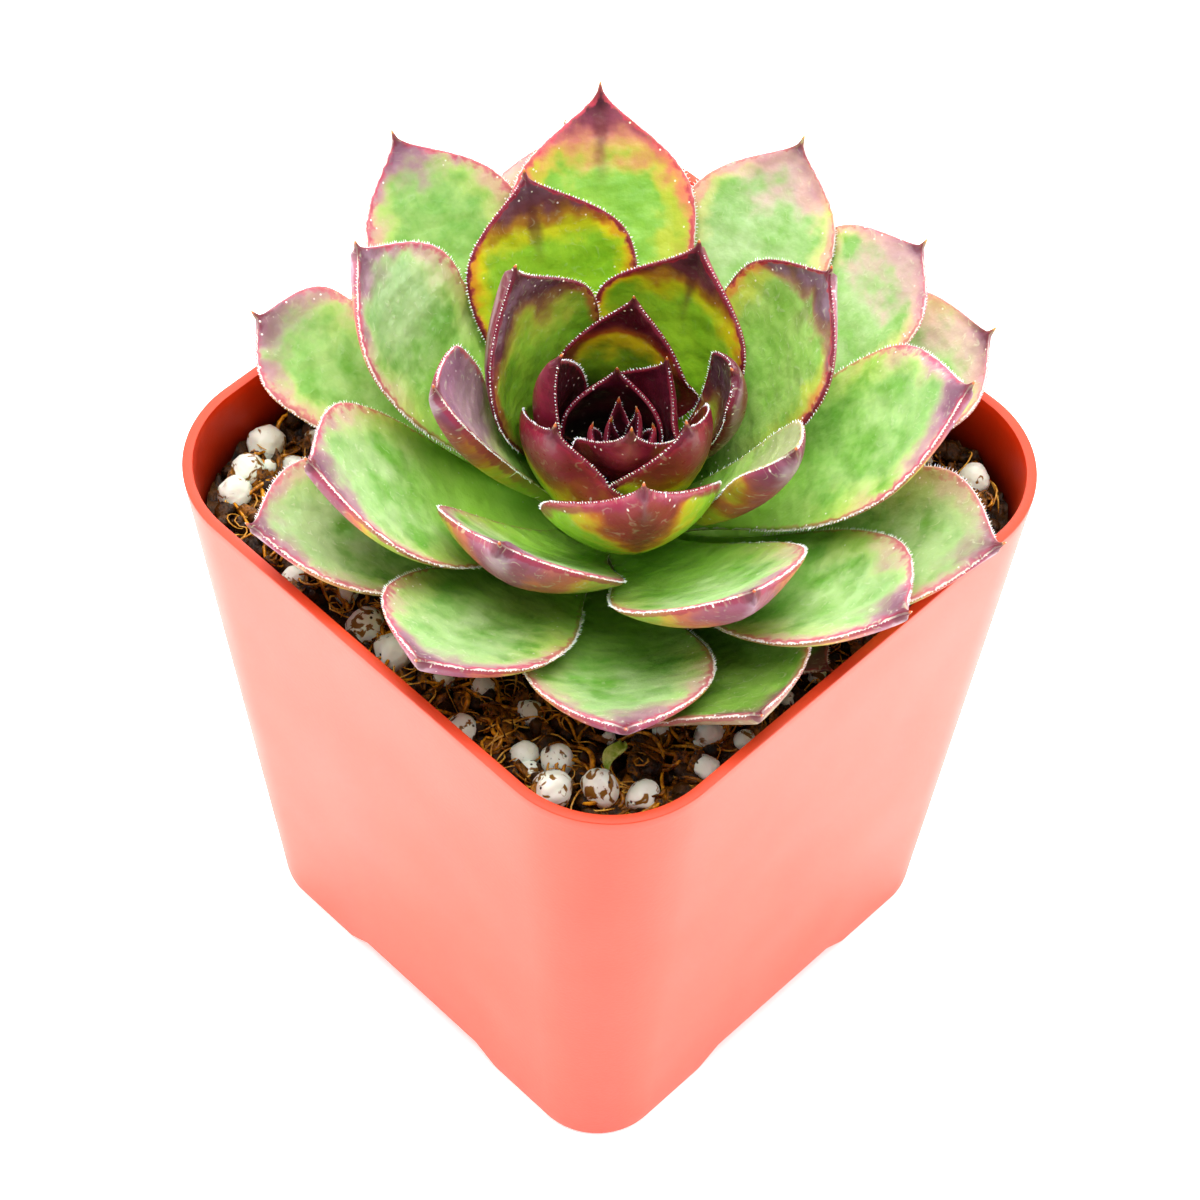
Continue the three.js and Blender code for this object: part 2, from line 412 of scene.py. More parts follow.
@dataclass(frozen=True)
class Face:
    """One side of a leaf: a mottled pair of colours, the zones over them and its outline."""

    low: str
    high: str
    zones: tuple[Zone, ...]
    outline: tuple[Zone, ...] = ()

    def build(self, add: Callable[..., Node], inputs: dict[Enum, Any]) -> Node:
        """Adds the nodes of this side.

        Args:
            add: Adds a node to the material.
            inputs: What gives each measure, grain and channel.

        Returns:
            The node that gives the colour.
        """
        # The fine mottling counts a third as much as the coarse.
        share = add("Math", {0: inputs[FINE], 1: 0.35, 2: inputs[COARSE]}, operation="MULTIPLY_ADD")
        share = add("MapRange", {"Value": share, "From Min": -0.9, "From Max": 0.9})
        colour = add("Mix", {0: share, 6: linear(self.low), 7: linear(self.high)}, data_type="RGBA")
        for zone in self.zones + self.outline:
            value = add(
                "Math",
                {0: inputs[zone.grain], 1: zone.wobble, 2: inputs[zone.measure]},
                operation="MULTIPLY_ADD",
            )
            share = add(
                "MapRange",
                {"Value": value, "From Min": zone.gone, "From Max": zone.full, "To Max": zone.strength},
                interpolation_type="SMOOTHSTEP",
            )
            if zone.near_tip:
                gone, full = zone.near_tip
                near = add(
                    "MapRange",
                    {"Value": inputs[TIP], "From Min": gone, "From Max": full},
                    interpolation_type="SMOOTHSTEP",
                )
                share = add("Math", {0: share, 1: near}, operation="MULTIPLY")
            if zone.channel:
                share = add("Math", {0: share, 1: inputs[zone.channel]}, operation="MULTIPLY", use_clamp=True)
            colour = add("Mix", {0: share, 6: colour, 7: linear(zone.colour)}, data_type="RGBA")
        return colour


@dataclass(frozen=True)
class LeafSkin:
    """Waxy living leaf skin: satin, slightly see-through flesh under a mottled bloom."""

    name: str
    upper: Face
    under: Face
    scar: str = "CDD4AE"
    scars: float = 0.5
    roughness: float = 0.42
    flesh: float = 0.22

    def build(self) -> Material:
        """Makes the material.

        Returns:
            The material, which reads the leaf's own place, reach, midrib and mood.
        """
        material, add = new_material(self.name)
        place, reach, mood = [
            add("Attribute", attribute_name=name).outputs["Vector"] for name in ("place", "reach", "mood")
        ]
        aside = add("Attribute", attribute_name="midrib").outputs["Fac"]
        edge, back, under = add("SeparateXYZ", {0: reach}).outputs
        moods = add("SeparateXYZ", {0: mood}).outputs
        crest = add("Math", {0: edge, 1: 0.25}, operation="MULTIPLY")
        inputs = {
            EDGE: edge,
            TIP: back,
            MIDRIB: aside,
            FOOT: add("SeparateXYZ", {0: place}).outputs[1],
            CREST: add("Math", {0: back, 1: 0.9, 2: crest}, operation="MULTIPLY_ADD"),
            WEDGE: add("Math", {0: back, 1: 0.55, 2: aside}, operation="MULTIPLY_ADD"),
            **{channel: moods[channel.value] for channel in Channel},
        }
        for grain in Grain:
            value = add("TexNoise", {"Vector": place, "Scale": 1 / grain.value, "Detail": 3.0})
            inputs[grain] = add("MapRange", {"Value": value, "From Min": 0.3, "From Max": 0.7, "To Min": -1})
        fine = inputs[FINE]
        faces = {6: self.upper.build(add, inputs), 7: self.under.build(add, inputs)}
        colour = add("Mix", {0: under, **faces}, data_type="RGBA")
        # Old scratches in the wax dry to thin pale curls, 0.2 mm wide, most of them towards the tip.
        swirl = add("TexNoise", {"Vector": place, "Scale": 0.5, "Detail": 1.5, "Distortion": 1.2})
        off = add("Math", {0: swirl, 1: 0.5}, operation="SUBTRACT")
        off = add("Math", {0: off}, operation="ABSOLUTE")
        line = add(
            "MapRange", {"Value": off, "From Min": 0.03, "From Max": 0.006}, interpolation_type="SMOOTHSTEP"
        )
        torn = add("MapRange", {"Value": fine, "From Min": 0.0, "From Max": 0.5})
        near_tip = add(
            "MapRange",
            {"Value": back, "From Min": 19.0, "From Max": 4.0, "To Max": self.scars},
            interpolation_type="SMOOTHSTEP",
        )
        scarred = line
        for factor in (torn, near_tip, inputs[BLOOM]):
            scarred = add("Math", {0: scarred, 1: factor}, operation="MULTIPLY")
        colour = add("Mix", {0: scarred, 6: colour, 7: linear(self.scar)}, data_type="RGBA")
        # Salt specks, 0.15 mm across and about a millimetre apart, most of them near the edges.
        cells = add("TexVoronoi", {"Vector": place, "Scale": 1.1, "Randomness": 1.0})
        dots = add("MapRange", {"Value": cells, "From Min": 0.12, "From Max": 0.07})
        fringe = add("MapRange", {"Value": edge, "From Min": 2.6, "From Max": 0.6})
        dots = add("Math", {0: dots, 1: fringe}, operation="MULTIPLY")
        colour = add("Mix", {0: dots, 6: colour, 7: linear("FFF6EE")}, data_type="RGBA")
        # The flesh swells between its veins, the skin is finely pebbled, and the scratches stand up a little.
        relief = add("TexNoise", {"Vector": place, "Scale": 0.42, "Detail": 1.2})
        for share, depth in ((scarred, 0.05), (fine, 0.035)):
            relief = add("Math", {0: share, 1: depth, 2: relief}, operation="MULTIPLY_ADD")
        low, high = self.roughness - 0.07, self.roughness + 0.1
        gloss = add("MapRange", {"Value": fine, "From Min": -1.0, "To Min": low, "To Max": high})
        shader = add(
            "BsdfPrincipled",
            {
                "Base Color": colour,
                "Roughness": gloss,
                "IOR": 1.35,
                "Normal": add("Bump", {"Height": relief, "Strength": 0.5, "Distance": 0.0009}),
                "Subsurface Weight": self.flesh,
                "Subsurface Radius": (0.8, 1.0, 0.35),
                "Subsurface Scale": 0.0022,
            },
        )
        add("OutputMaterial", {"Surface": shader})
        return material


# The ends of the leaves: a dark point with a dry, pale tip.
POINT = (
    Zone("5E2434", TIP, 1, 0.2, 0.8, 0.3, grain=FINE),
    Zone("D8603C", TIP, -0.4, -0.7, 0.9),
    Zone("FBE9D0", TIP, -0.74, -0.88),
)
# Their outlines: red, on the older leaves worn to a thin white line, and softer on the undersides.
LINE = (Zone("6A1428", EDGE, 0.34, 0.18, 0.9, 0.16, (24, 14), BLUSH, FINE), *POINT)
WORN = (
    Zone("A83A4C", EDGE, 0.42, 0.2, 0.6, 0.26, (24, 13), BLUSH, FINE),
    Zone("F7EFE2", EDGE, 0.06, 0.02, 0.7, 0.06, grain=FINE),
    *POINT,
)
LIP = (Zone("9A2C48", EDGE, 0.4, 0.15, 0.75, 0.2, (20, 10), BLUSH, FINE), *POINT)


class Skin(Enum):
    """The leaf skins, from the heart outwards."""

    HEART = LeafSkin(
        "youngest_leaf_skin",
        Face("4A0C1C", "240610", (
            Zone("6E1830", EDGE, 0.45, 0.1, 0.8, 0.2, grain=FINE),
            Zone("C8462C", TIP, 0.6, 0),
            Zone("F6C59C", TIP, -0.1, -0.4),
        )),
        Face("86203A", "541022", (
            Zone("9E2C48", TIP, 3.4, 0.8, 0.85, 0.4, grain=FINE),
            Zone("B84058", EDGE, 0.4, 0.1, 0.8, 0.2, grain=FINE),
            Zone("D8503A", TIP, 0.6, 0),
            Zone("F6C59C", TIP, -0.1, -0.4),
        )),
        scars=0,
    )
    INNER = LeafSkin(
        "inner_leaf_skin",
        Face("420C18", "20040A", (
            # Painted shade: near black at the foot, deep in the heart.
            Zone("060202", FOOT, 7.5, 4.2),
            Zone("561226", TIP, 3, 1, 0.9, 0.7),
        ), LINE),
        Face("8C263E", "681429", (
            Zone("B09A20", FOOT, 7.2, 5, 0.8, 1.2),
            Zone("5C7A10", FOOT, 5.6, 3.8, 0.9, 0.8),
            Zone("A83450", TIP, 5, 2, 0.8, 0.9),
            Zone("A97A90", MIDRIB, 1, 0.2, 0.5, 0.5, (4, 1), BLOOM),
            Zone("6E1026", EDGE, 1.2, 0.4, 0.7, 0.3, (9, 4)),
        ), LINE),
        scars=0.1, roughness=0.36,
    )
    DARK = LeafSkin(
        "cup_leaf_skin",
        Face("749A18", "568012", (
            # Painted shade: near black at the foot, deep in the cup.
            Zone("0A1202", FOOT, 9.4, 5.4),
            Zone("D0B410", CREST, 7, 5, 0.85, 0.9),
            Zone("6E1820", EDGE, 1.9, 0.9, 0.9, 0.5, (14, 8)),
            Zone("8A2C14", CREST, 5.2, 4.2, 0.9, 0.7),
            Zone("4E101C", CREST, 4.4, 3, 1, 0.6),
        ), LINE),
        Face("A4BC30", "8AA824", (
            Zone("BCA010", TIP, 8, 5.6, 0.9, 1.4),
            Zone("8E4018", TIP, 6.2, 4.6, 0.9, 1.3),
            Zone("781830", TIP, 5.4, 3.2, 0.97, 1.1),
            Zone("A23C54", MIDRIB, 2.4, 0.6, 0.7, 0.8, (5, 2)),
            Zone("8A1C34", EDGE, 1.1, 0.5, 0.85, 0.5, (12, 6)),
            Zone("B494A4", MIDRIB, 0.9, 0.1, 0.6, 0.5, (2.4, 0.6), BLOOM, grain=FINE),
        ), LINE),
        scars=0.25, roughness=0.34,
    )
    VEILED = LeafSkin(
        "veiled_leaf_skin",
        Face("84B430", "68A022", (
            # Painted shade: a darker green towards the foot, under the leaves above.
            Zone("528C18", FOOT, 8, 2.5, 0.75),
            Zone("A8A038", CREST, 9.5, 6.5, 0.7, 1.4),
            Zone("94502C", EDGE, 1.6, 0.7, 0.85, 0.6, (20, 10)),
            Zone("74302E", CREST, 7.6, 5.4, 0.8, 1.4),
            Zone("4C2230", CREST, 6.6, 4, 0.95, 1.2),
            Zone("7C6070", CREST, 5.2, 1.6, 0.5, 1.6, grain=FINE),
            Zone("4A1424", TIP, 2.2, 0.8, 0.8, 0.5),
        ), LINE),
        Face("BCD070", "9CC04C", (
            Zone("B0905A", TIP, 15, 11, 0.7, 2),
            Zone("842440", TIP, 12, 7, 0.9, 1.8),
            Zone("A88C9C", EDGE, 2.4, 1.2, 0.6, 0.6, (16, 6)),
            Zone("6A1C34", EDGE, 0.9, 0.4, 0.85, 0.4, (16, 8)),
        ), LINE),
        scars=0.5, roughness=0.34,
    )
    BLUSHED = LeafSkin(
        "sunned_leaf_skin",
        Face("8CB828", "70A21A", (
            # Painted shade: a darker green towards the foot, under the leaves above.
            Zone("528C14", FOOT, 8, 2.5, 0.75),
            Zone("BCB40C", CREST, 7.2, 5.2, 0.75, 1.2, None, BLUSH),
            Zone("DCC814", EDGE, 2.4, 0.6, 0.6, 1.3, (18, 10), BLUSH),
            Zone("C86024", EDGE, 1.3, 0.4, 0.65, 0.9, (18, 9), BLUSH),
            Zone("8E3C18", CREST, 5.4, 4.2, 0.75, 0.9, None, BLUSH),
            Zone("561A26", CREST, 4.6, 2.8, 0.96, 1, None, BLUSH),
            Zone("4E1A1C", MIDRIB, 0.8, 0.05, 0.75, 0.3, (8.4, 4), STREAK),
            Zone("3A0C1A", TIP, 3, 1.2, 0.8, 0.5, None, STREAK),
            Zone("94788A", CREST, 4, 2, 0.55, 1.4, None, BLOOM),
            Zone("942436", EDGE, 0.55, 0.28, 0.85, 0.25, (20, 12), BLUSH, grain=FINE),
        ), LINE),
        Face("A8CC40", "88B828", (
            Zone("D4B428", WEDGE, 8.4, 6.4, 0.85, 1.6),
            Zone("B04C20", WEDGE, 7, 5.4, 0.85, 1.4),
            Zone("842A2C", WEDGE, 6, 3.8, 0.95, 1.4),
            Zone("6A1C28", MIDRIB, 1.3, 0.2, 0.7, 0.5, (9, 5)),
            Zone("9A3448", TIP, 2.8, 0.9, 0.8, 0.8),
            Zone("8E2C46", EDGE, 1, 0.4, 0.8, 0.5, (15, 8)),
            Zone("B8A4B0", MIDRIB, 0.9, 0.2, 0.6, 0.5, (3.4, 1), BLOOM),
        ), LIP),
        scars=0.4, roughness=0.36,
    )
    FOLDED = LeafSkin(
        "folded_leaf_skin",
        Face("98BE60", "7CAC40", (
            # Painted shade: a darker green towards the foot, under the leaves above.
            Zone("6EA028", FOOT, 10, 4, 0.85),
            Zone("C4C48C", TIP, 14, 9, 0.7, 1.5, None, BLUSH),
            Zone("A07C8C", TIP, 11, 7, 0.9, 1.5, None, BLUSH),
            Zone("80566C", TIP, 6, 2.5, 0.85, 1.2, None, BLUSH),
        ), WORN),
        Face("B0C05C", "98B03C", (
            Zone("C8A838", WEDGE, 9.8, 7.2, 0.85, 2),
            Zone("C05038", WEDGE, 7.6, 5.6, 0.8, 2),
            Zone("A0485E", WEDGE, 6.4, 3.8, 0.9, 1.8),
            Zone("743A58", TIP, 5, 1.6, 0.8, 1.4),
            Zone("C8B4C0", MIDRIB, 1.2, 0.2, 0.6, 0.9, (5, 1), BLOOM),
        ), LIP),
        scars=0.35, roughness=0.38,
    )
    GLOWING = LeafSkin(
        "backlit_leaf_skin",
        Face("8ABA44", "72A836", (
            Zone("72AC34", FOOT, 18, 8, 0.8),
            Zone("C6BE3A", EDGE, 3.8, 1.8, 0.6, 1.6, (22, 12), BLUSH),
            Zone("CCB040", CREST, 8.4, 5.6, 0.75, 1.6, None, BLUSH),
            Zone("D87460", EDGE, 1.7, 0.4, 0.85, 0.9, (22, 9), BLUSH),
            Zone("BC6068", CREST, 7.8, 3.4, 0.85, 2.2, None, BLUSH),
            Zone("7C3650", CREST, 4.8, 2.2, 0.88, 1.3, None, BLUSH),
            Zone("6A2E30", MIDRIB, 0.9, 0.05, 0.7, 0.3, (9, 4), STREAK),
            Zone("3C1628", TIP, 2.6, 0.8, 0.85, 0.6, None, STREAK),
            Zone("C84460", EDGE, 0.7, 0.25, 0.7, 0.4, (22, 12), BLUSH, grain=FINE),
        ), WORN),
        Face("B4C870", "9CB858", (
            Zone("E0C468", EDGE, 2.6, 0.8, 0.7, 0.5),
            Zone("D07A7A", TIP, 10, 5, 0.85, 1.5),
        ), LIP),
        scars=0.2, flesh=0.35,
    )
    MILKY = LeafSkin(
        "milky_leaf_skin",
        Face("9ABE64", "76A640", (
            # Painted shade: a darker green towards the foot, under the leaves above.
            Zone("568C20", FOOT, 10, 3, 0.85),
            Zone("B4BC40", EDGE, 2.8, 1.2, 0.7, 1.1, (18, 10), BLUSH),
            Zone("C8783C", EDGE, 1.2, 0.5, 0.75, 0.6, (17, 9), BLUSH),
            Zone("8A4A48", CREST, 5.4, 4, 0.8, 1.3, None, BLUSH),
            Zone("583040", CREST, 4.6, 2.8, 0.95, 1.2, None, BLUSH),
            Zone("58202C", MIDRIB, 1, 0.1, 0.7, 0.5, (7.5, 4), STREAK),
            Zone("90788A", CREST, 4.2, 1.8, 0.6, 1.6, None, BLOOM),
            Zone("A82838", EDGE, 0.6, 0.3, 0.8, 0.3, (20, 12), BLUSH, grain=FINE),
        ), LINE),
        Face("BCD088", "A2C26C", (
            Zone("D8B840", TIP, 11, 7, 0.7, 2),
            Zone("A88AA0", TIP, 8.4, 4, 0.9, 1.8),
        ), LIP),
        scars=0.3, roughness=0.38,
    )
    FROSTED = LeafSkin(
        "frosted_leaf_skin",
        Face("8EB660", "629A36", (
            # Painted light: the foot is made paler to offset the shade of the leaves above.
            Zone("A4DC4C", FOOT, 18, 6, 0.8),
            Zone("B4C860", EDGE, 4.2, 1.6, 0.6, 1.6, (19, 10), BLUSH),
            Zone("C89058", EDGE, 1.9, 0.7, 0.4, 1.2, (16, 9), BLUSH),
            # A pale bloom towards the tip, strong enough to also paint the whitish sheen that the tips catch.
            Zone("AEC694", TIP, 14, 5, 0.6, 4, None, BLOOM),
            Zone("CC98A0", EDGE, 2.8, 0.5, 0.7, 1.5, (13, 4), BLUSH),
            Zone("946A7E", CREST, 5.8, 1.8, 0.88, 2, None, BLUSH),
            Zone("B85070", EDGE, 0.9, 0.3, 0.7, 0.6, (13, 7), BLUSH, grain=FINE),
            Zone("643A50", TIP, 2.8, 0.8, 0.75, 0.9, None, BLUSH),
        ), WORN),
        Face("B4C464", "9CB044", (
            Zone("D8AC48", WEDGE, 11.5, 8.4, 0.8, 2.6),
            Zone("C4585C", WEDGE, 8.8, 6, 0.8, 2.6),
            Zone("8E5070", WEDGE, 6, 3.2, 0.85, 1.8),
            Zone("C8B4C4", MIDRIB, 1.4, 0.2, 0.6, 0.9, (5, 1), BLOOM),
        ), LIP),
        scars=0.45, roughness=0.38,
    )
    PALE = LeafSkin(
        "pale_leaf_skin",
        Face("AAC68C", "82B05A", (
            Zone("7CB84C", FOOT, 16, 5, 0.75),
            Zone("D8D080", EDGE, 3.4, 1.4, 0.6, 1.5, (20, 10), BLUSH),
            Zone("DC9484", EDGE, 1.3, 0.5, 0.7, 0.9, (20, 10), BLUSH),
            Zone("CC98A4", CREST, 7.4, 2.8, 0.8, 2.8, None, BLUSH),
            Zone("98687E", CREST, 3.8, 1, 0.75, 1.4, None, BLUSH),
            Zone("70485E", TIP, 1.6, 0.3, 0.8, 0.5, None, STREAK),
        ), WORN),
        Face("C6DCA4", "B2CF90", (
            Zone("EBDCAA", EDGE, 2.6, 0.8, 0.6, 0.5),
            Zone("E2A0AE", TIP, 9, 4, 0.85, 1.4),
        ), LIP),
        scars=0.4, flesh=0.35,
    )
    OLD = LeafSkin(
        "shaded_leaf_skin",
        Face("8CB850", "6A9A34", (
            # Painted shade: a darker green towards the foot, under the leaves above.
            Zone("42681E", FOOT, 14, 6, 0.8),
            Zone("B08A72", EDGE, 1.6, 0.6, 0.7, 0.6, (14, 8), BLUSH),
            Zone("7C4A58", CREST, 4.4, 1.8, 0.8, 1.4),
        ), WORN),
        Face("8EA05E", "748A48", (
            Zone("A88070", TIP, 9, 4, 0.7, 1.4),
        ), LIP),
        scars=0.6,
    )


# Leaf hairs are single rows of dry cell walls, so they are white and a little see-through.
HAIR = Grained(
    "leaf_hair", "FFF2EC", "FFFFFF", (10 / 9, 10 / 9, 10 / 9), 0.5, 1.0,
    surface={"Subsurface Weight": 0.3, "Subsurface Scale": 0.0004},
)
# The corky stem is pale and matt, with faint rings where old leaves have dropped.
STEM = Grained("houseleek_stem", "A9B878", "7C6A44", (10 / 3, 10 / 3, 0.625), 0.7, 3.0, relief=(0.6, 0.3))


# ---------------------------------------------------------------- leaves


@dataclass(frozen=True)
class Leaf:
    """One leaf of a whorl: its bearing, its lean from upright, its length, its looks and what is its own."""

    bearing: float
    lean: float
    length: float
    skin: Skin
    mood: Mood = Mood()
    width: float = 0.0
    full: float | None = None
    cup: float = 0.0
    skew: float = 0.0
    widest: float = 0.0
    roll: float = 0.0
    curl: float | None = None


@dataclass(frozen=True)
class Whorl:
    """Leaves that share their attachment, width, thickness, cup and curl."""

    name: str
    z: float
    radius: float
    width: float
    thickness: float
    cup: float
    curl: float
    slot: str
    leaves: tuple[Leaf, ...]
    widest: float = 0.65
    ogee: float = 0.12
    full: float = 0.0


INNER, DARK, VEILED, BLUSHED, FOLDED, GLOWING, MILKY, FROSTED, PALE, OLD = list(Skin)[1:]
WHORLS = (
    Whorl("inner", 60.8, 1.8, 10, 1.4, 125, 14, "leaf_dark", (
        Leaf(128, 13, 9.8, INNER, Mood(1, 0, 0.2)),
        Leaf(328, 24, 14.5, INNER, Mood(1, 0, 0.4), 9.2, 0.6, 112, 0, 0, -12),
        Leaf(84, 25, 11.2, INNER, Mood(1, 0, 0.3)),
    ), 0.45, 0.3),
    Whorl("cup", 60, 2.8, 13.4, 1.9, 84, 28, "leaf_dark", (
        Leaf(222, 16, 15.8, INNER, Mood(1, 0, 0.5), 9.4, 0, 80, -0.16, 0.42),
        Leaf(2, 30.5, 15.3, DARK, Mood(1, 0, 0.6), 13.2, 1.2, 82, 0, 0.42),
        Leaf(274, 28, 14.3, DARK, Mood(1, 0, 0.6), 13.2, 1.2, 86, 0, 0.42),
        Leaf(52, 52, 15.5, VEILED, Mood(1, 0, 0.7), 6.6, 1.2, 84, 0.2, 0.86, -6, 62),
        Leaf(122, 28, 15.6, DARK, Mood(1, 0, 0.2), 11.8, 0, 0, 0.1),
    ), 0.45, 0.08),
    Whorl("upper", 58.6, 3.8, 15, 2.6, 62, 23, "leaf_edged", (
        Leaf(190, 24, 22.6, VEILED),
        Leaf(324, 38, 22.3, BLUSHED, Mood(1, 0.9, 0.5), 0, 0.3),
        Leaf(103, 35, 21, BLUSHED, Mood(1, 1, 0.1), 0, 0.1),
        Leaf(241, 33, 21.2, FOLDED, Mood(1, 0, 0.9), 7.8, 1.0, 58, -0.5, 0.82, 0, 6),
        Leaf(11, 41, 22.4, FOLDED, Mood(0.3, 0, 0.9), 8.0, 0.8, 70, 0.26, 0.78, -14, 12),
    ), 0.58, 0.25),
    Whorl("middle", 57, 4.6, 15.8, 2.9, 30, 21, "leaf_edged", (
        Leaf(156, 47.5, 25.4, BLUSHED, Mood(1, 1, 0.3), 15, 0.3, 0, -0.07),
        Leaf(69, 42.5, 25.8, MILKY, Mood(1, 0.6, 0.9)),
        Leaf(203, 46.2, 29, FROSTED, Mood(1, 0, 0.9), 15),
        Leaf(288, 49, 22.5, FROSTED, Mood(1, 0, 1.0), 16.2),
        Leaf(340, 55.5, 28.2, FROSTED, Mood(0.9, 0, 0.8)),
        Leaf(38, 57.5, 31.7, FROSTED, Mood(1, 0, 0.5), 17),
        Leaf(247, 58.5, 27.8, FROSTED, Mood(1, 0, 0.9), 17.5),
    ), 0.65, 0.05, 0.6),
    Whorl("lower", 55.4, 5, 15.2, 2.6, 43, 14, "leaf_green", (
        Leaf(137, 61, 32.9, GLOWING, Mood(1, 1, 0.2), 16.4, 0.1),
        Leaf(171, 60, 32.8, FROSTED, Mood(1, 0, 0.2)),
        Leaf(104.3, 62.5, 31.9, PALE, Mood(0.9, 1, 0.5), 14.8, 1.0),
        Leaf(75.5, 60, 30.8, PALE, Mood(0.9, 1, 0.7), 14, 1.6, 38, 0.12, 0.74),
        Leaf(1, 63, 31.8, FROSTED, Mood(0.9, 0, 0.8)),
        Leaf(285, 64, 29.3, FROSTED, Mood(1, 0, 0.8)),
        Leaf(206, 68.5, 29.7, FROSTED, Mood(0.8, 0, 0.3), 13.2, 2.0, 30, 0.0, 0.78),
    ), 0.66, 0.0, 0.8),
    Whorl("outer", 54, 5.2, 15.4, 2.4, 55, 17, "leaf_green", (
        Leaf(317, 66, 30.3, FROSTED, Mood(0.8, 0, 0.8)),
        Leaf(337, 68.5, 29.2, OLD, Mood(0.8, 0, 0.7)),
        Leaf(247, 67, 29.9, FROSTED, Mood(0.8, 0, 1.0)),
        Leaf(21, 67, 33, FROSTED, Mood(0.7, 0, 0.9), 17),
        Leaf(62, 69, 31.7, PALE, Mood(0.75, 1, 0.8), 15, 2.0, 42, 0.08, 0.76),
        Leaf(142.5, 64, 30.8, PALE, Mood(0.9, 0.3, 0.5), 18, 1.3),
        Leaf(120.5, 70, 25.8, PALE, Mood(0.8, 0.3, 0.5), 16.6),
    ), 0.66, 0.0, 0.7),
    Whorl("spent", 53, 5.2, 12.6, 1, 40, 10, "leaf_spent", (
        Leaf(358, 75, 22, OLD, Mood(0.6, 0, 0.6)),
    )),
)


@dataclass
class Blade:
    """The form of one leaf, in millimetres, and how far its neighbours press it down."""

    bearing: float
    lean: float
    length: float
    width: float
    thickness: float
    cup: float
    curl: float
    radius: float
    z: float
    seed: int
    press: Array = field(default_factory=lambda: np.zeros((25, 13)))
    widest: float = 0.65
    neck_share: float = 0.34
    margin: float = 0.4
    end_thickness: float = 0.25
    point_length: float = 0.9
    point_radius: float = 0.36
    ogee: float = 0.12
    full: float = 0.0
    skew: float = 0.0
    roll: float = 0.0
    gap: float = 0.12
    aside: tuple[float, float] = (0, 0)
    steps: int = 24
    passes: int = 10

    @classmethod
    def of(cls, whorl: Whorl, leaf: Leaf, seed: int) -> "Blade":
        """Gives a leaf its form.

        Args:
            whorl: What the leaf shares with its neighbours.
            leaf: What is its own.
            seed: For all that varies by chance.

        Returns:
            The blade, not pressed yet.
        """
        curl = whorl.curl if leaf.curl is None else leaf.curl
        return cls(
            leaf.bearing, leaf.lean, leaf.length, leaf.width or whorl.width, whorl.thickness,
            leaf.cup or whorl.cup, curl, whorl.radius, whorl.z, seed,
            widest=leaf.widest or whorl.widest, ogee=whorl.ogee, skew=leaf.skew, roll=leaf.roll,
            full=whorl.full if leaf.full is None else leaf.full,
        )

    def width_share(self, s: Array) -> Array:
        """Finds how wide the leaf is along its length.

        Args:
            s: Shares of the leaf's length.

        Returns:
            Half widths, as shares of the fullest.
        """
        swell = np.sin(math.pi / 2 * np.clip(s, 0, self.widest) / self.widest) ** 2
        t = np.clip((s - self.widest) / (1 - self.widest), 0, 1)
        # A full leaf keeps its width for longer and then closes quickly to its point.
        taper = np.cos(math.pi / 2 * t ** (1.15 + 0.35 * self.full)) * (1 - 0.45 * t ** (3 + 3 * self.full))
        taper *= 1 - self.ogee * smooth(t, 0.25, 0.9)
        return np.where(s < self.widest, mix(self.neck_share, 1.0, swell), np.maximum(taper, 0))

    def angle(self, s: Array) -> Array:
        """The midrib's angle from upright at shares of the length, in radians."""
        return np.radians(self.lean - self.curl * np.clip(s, 0, 1) ** 1.6)

    def midrib(self, s: Array) -> tuple[Array, Array]:
        """Finds the midrib.

        Args:
            s: Shares of the leaf's length.

        Returns:
            Its distance from the stem's axis and its height.
        """
        along = self.angle(s[..., None] * ((np.arange(self.steps) + 0.5) / self.steps))
        out = self.radius + s * self.length * np.sin(along).mean(-1)
        return out, self.z + s * self.length * np.cos(along).mean(-1)

    def sheet(self, s: Array, v: Array) -> tuple[Array, Array, Array, Array]:
        """Finds the upper face.

        Args:
            s: Shares of the leaf's length.
            v: Shares of the half width, from -1 to 1.

        Returns:
            Points, the way the upper face looks at them, the half width and the depth of flesh.
        """
        out, up = self.midrib(s)
        angle = self.angle(s)
        b = math.radians(self.bearing)
        outward, across = np.array([math.cos(b), math.sin(b), 0]), np.array([-math.sin(b), math.cos(b), 0])
        face = -np.cos(angle)[..., None] * outward + np.sin(angle)[..., None] * UP
        # The leaf rolls about its own midrib, freely from half way out.
        roll = np.radians(self.roll * smooth(s, 0.0, 0.5))[..., None]
        cosine, sine = np.cos(roll), np.sin(roll)
        across, face = across * cosine + face * sine, face * cosine - across * sine
        # The blade runs out in a thin point, rounded off over its last half millimetre.
        beyond = (1 - s) * self.length + self.point_length
        point = self.point_radius * np.clip(beyond / (self.point_length + 0.5), 0, 1) ** 0.8
        half = np.hypot(self.width / 2 * self.width_share(s) * (1 + self.skew * v), point)
        # The cup is the angle that the fullest width would span on its circle.
        bend = self.width / math.radians(self.cup)
        turn = v * half / bend
        # The flesh is thickest just beyond the middle and thins towards the margins.
        swell = np.sin(math.pi * np.clip(s, 0, 1) ** 1.25) ** 0.6
        full = np.minimum(self.thickness * mix(self.end_thickness, 1.0, swell), 2 * half)
        depth = mix(full, np.minimum(self.margin, full), np.abs(v) ** 1.6)
        normal = face * np.cos(turn)[..., None] - across * np.sin(turn)[..., None]
        place = out[..., None] * outward + up[..., None] * UP + np.array([*self.aside, 0])
        place = place + across * (bend * np.sin(turn))[..., None]
        place = place + face * (bend * (1 - np.cos(turn)))[..., None]
        return place - normal * self.pressed(s, v)[..., None], normal, half, depth

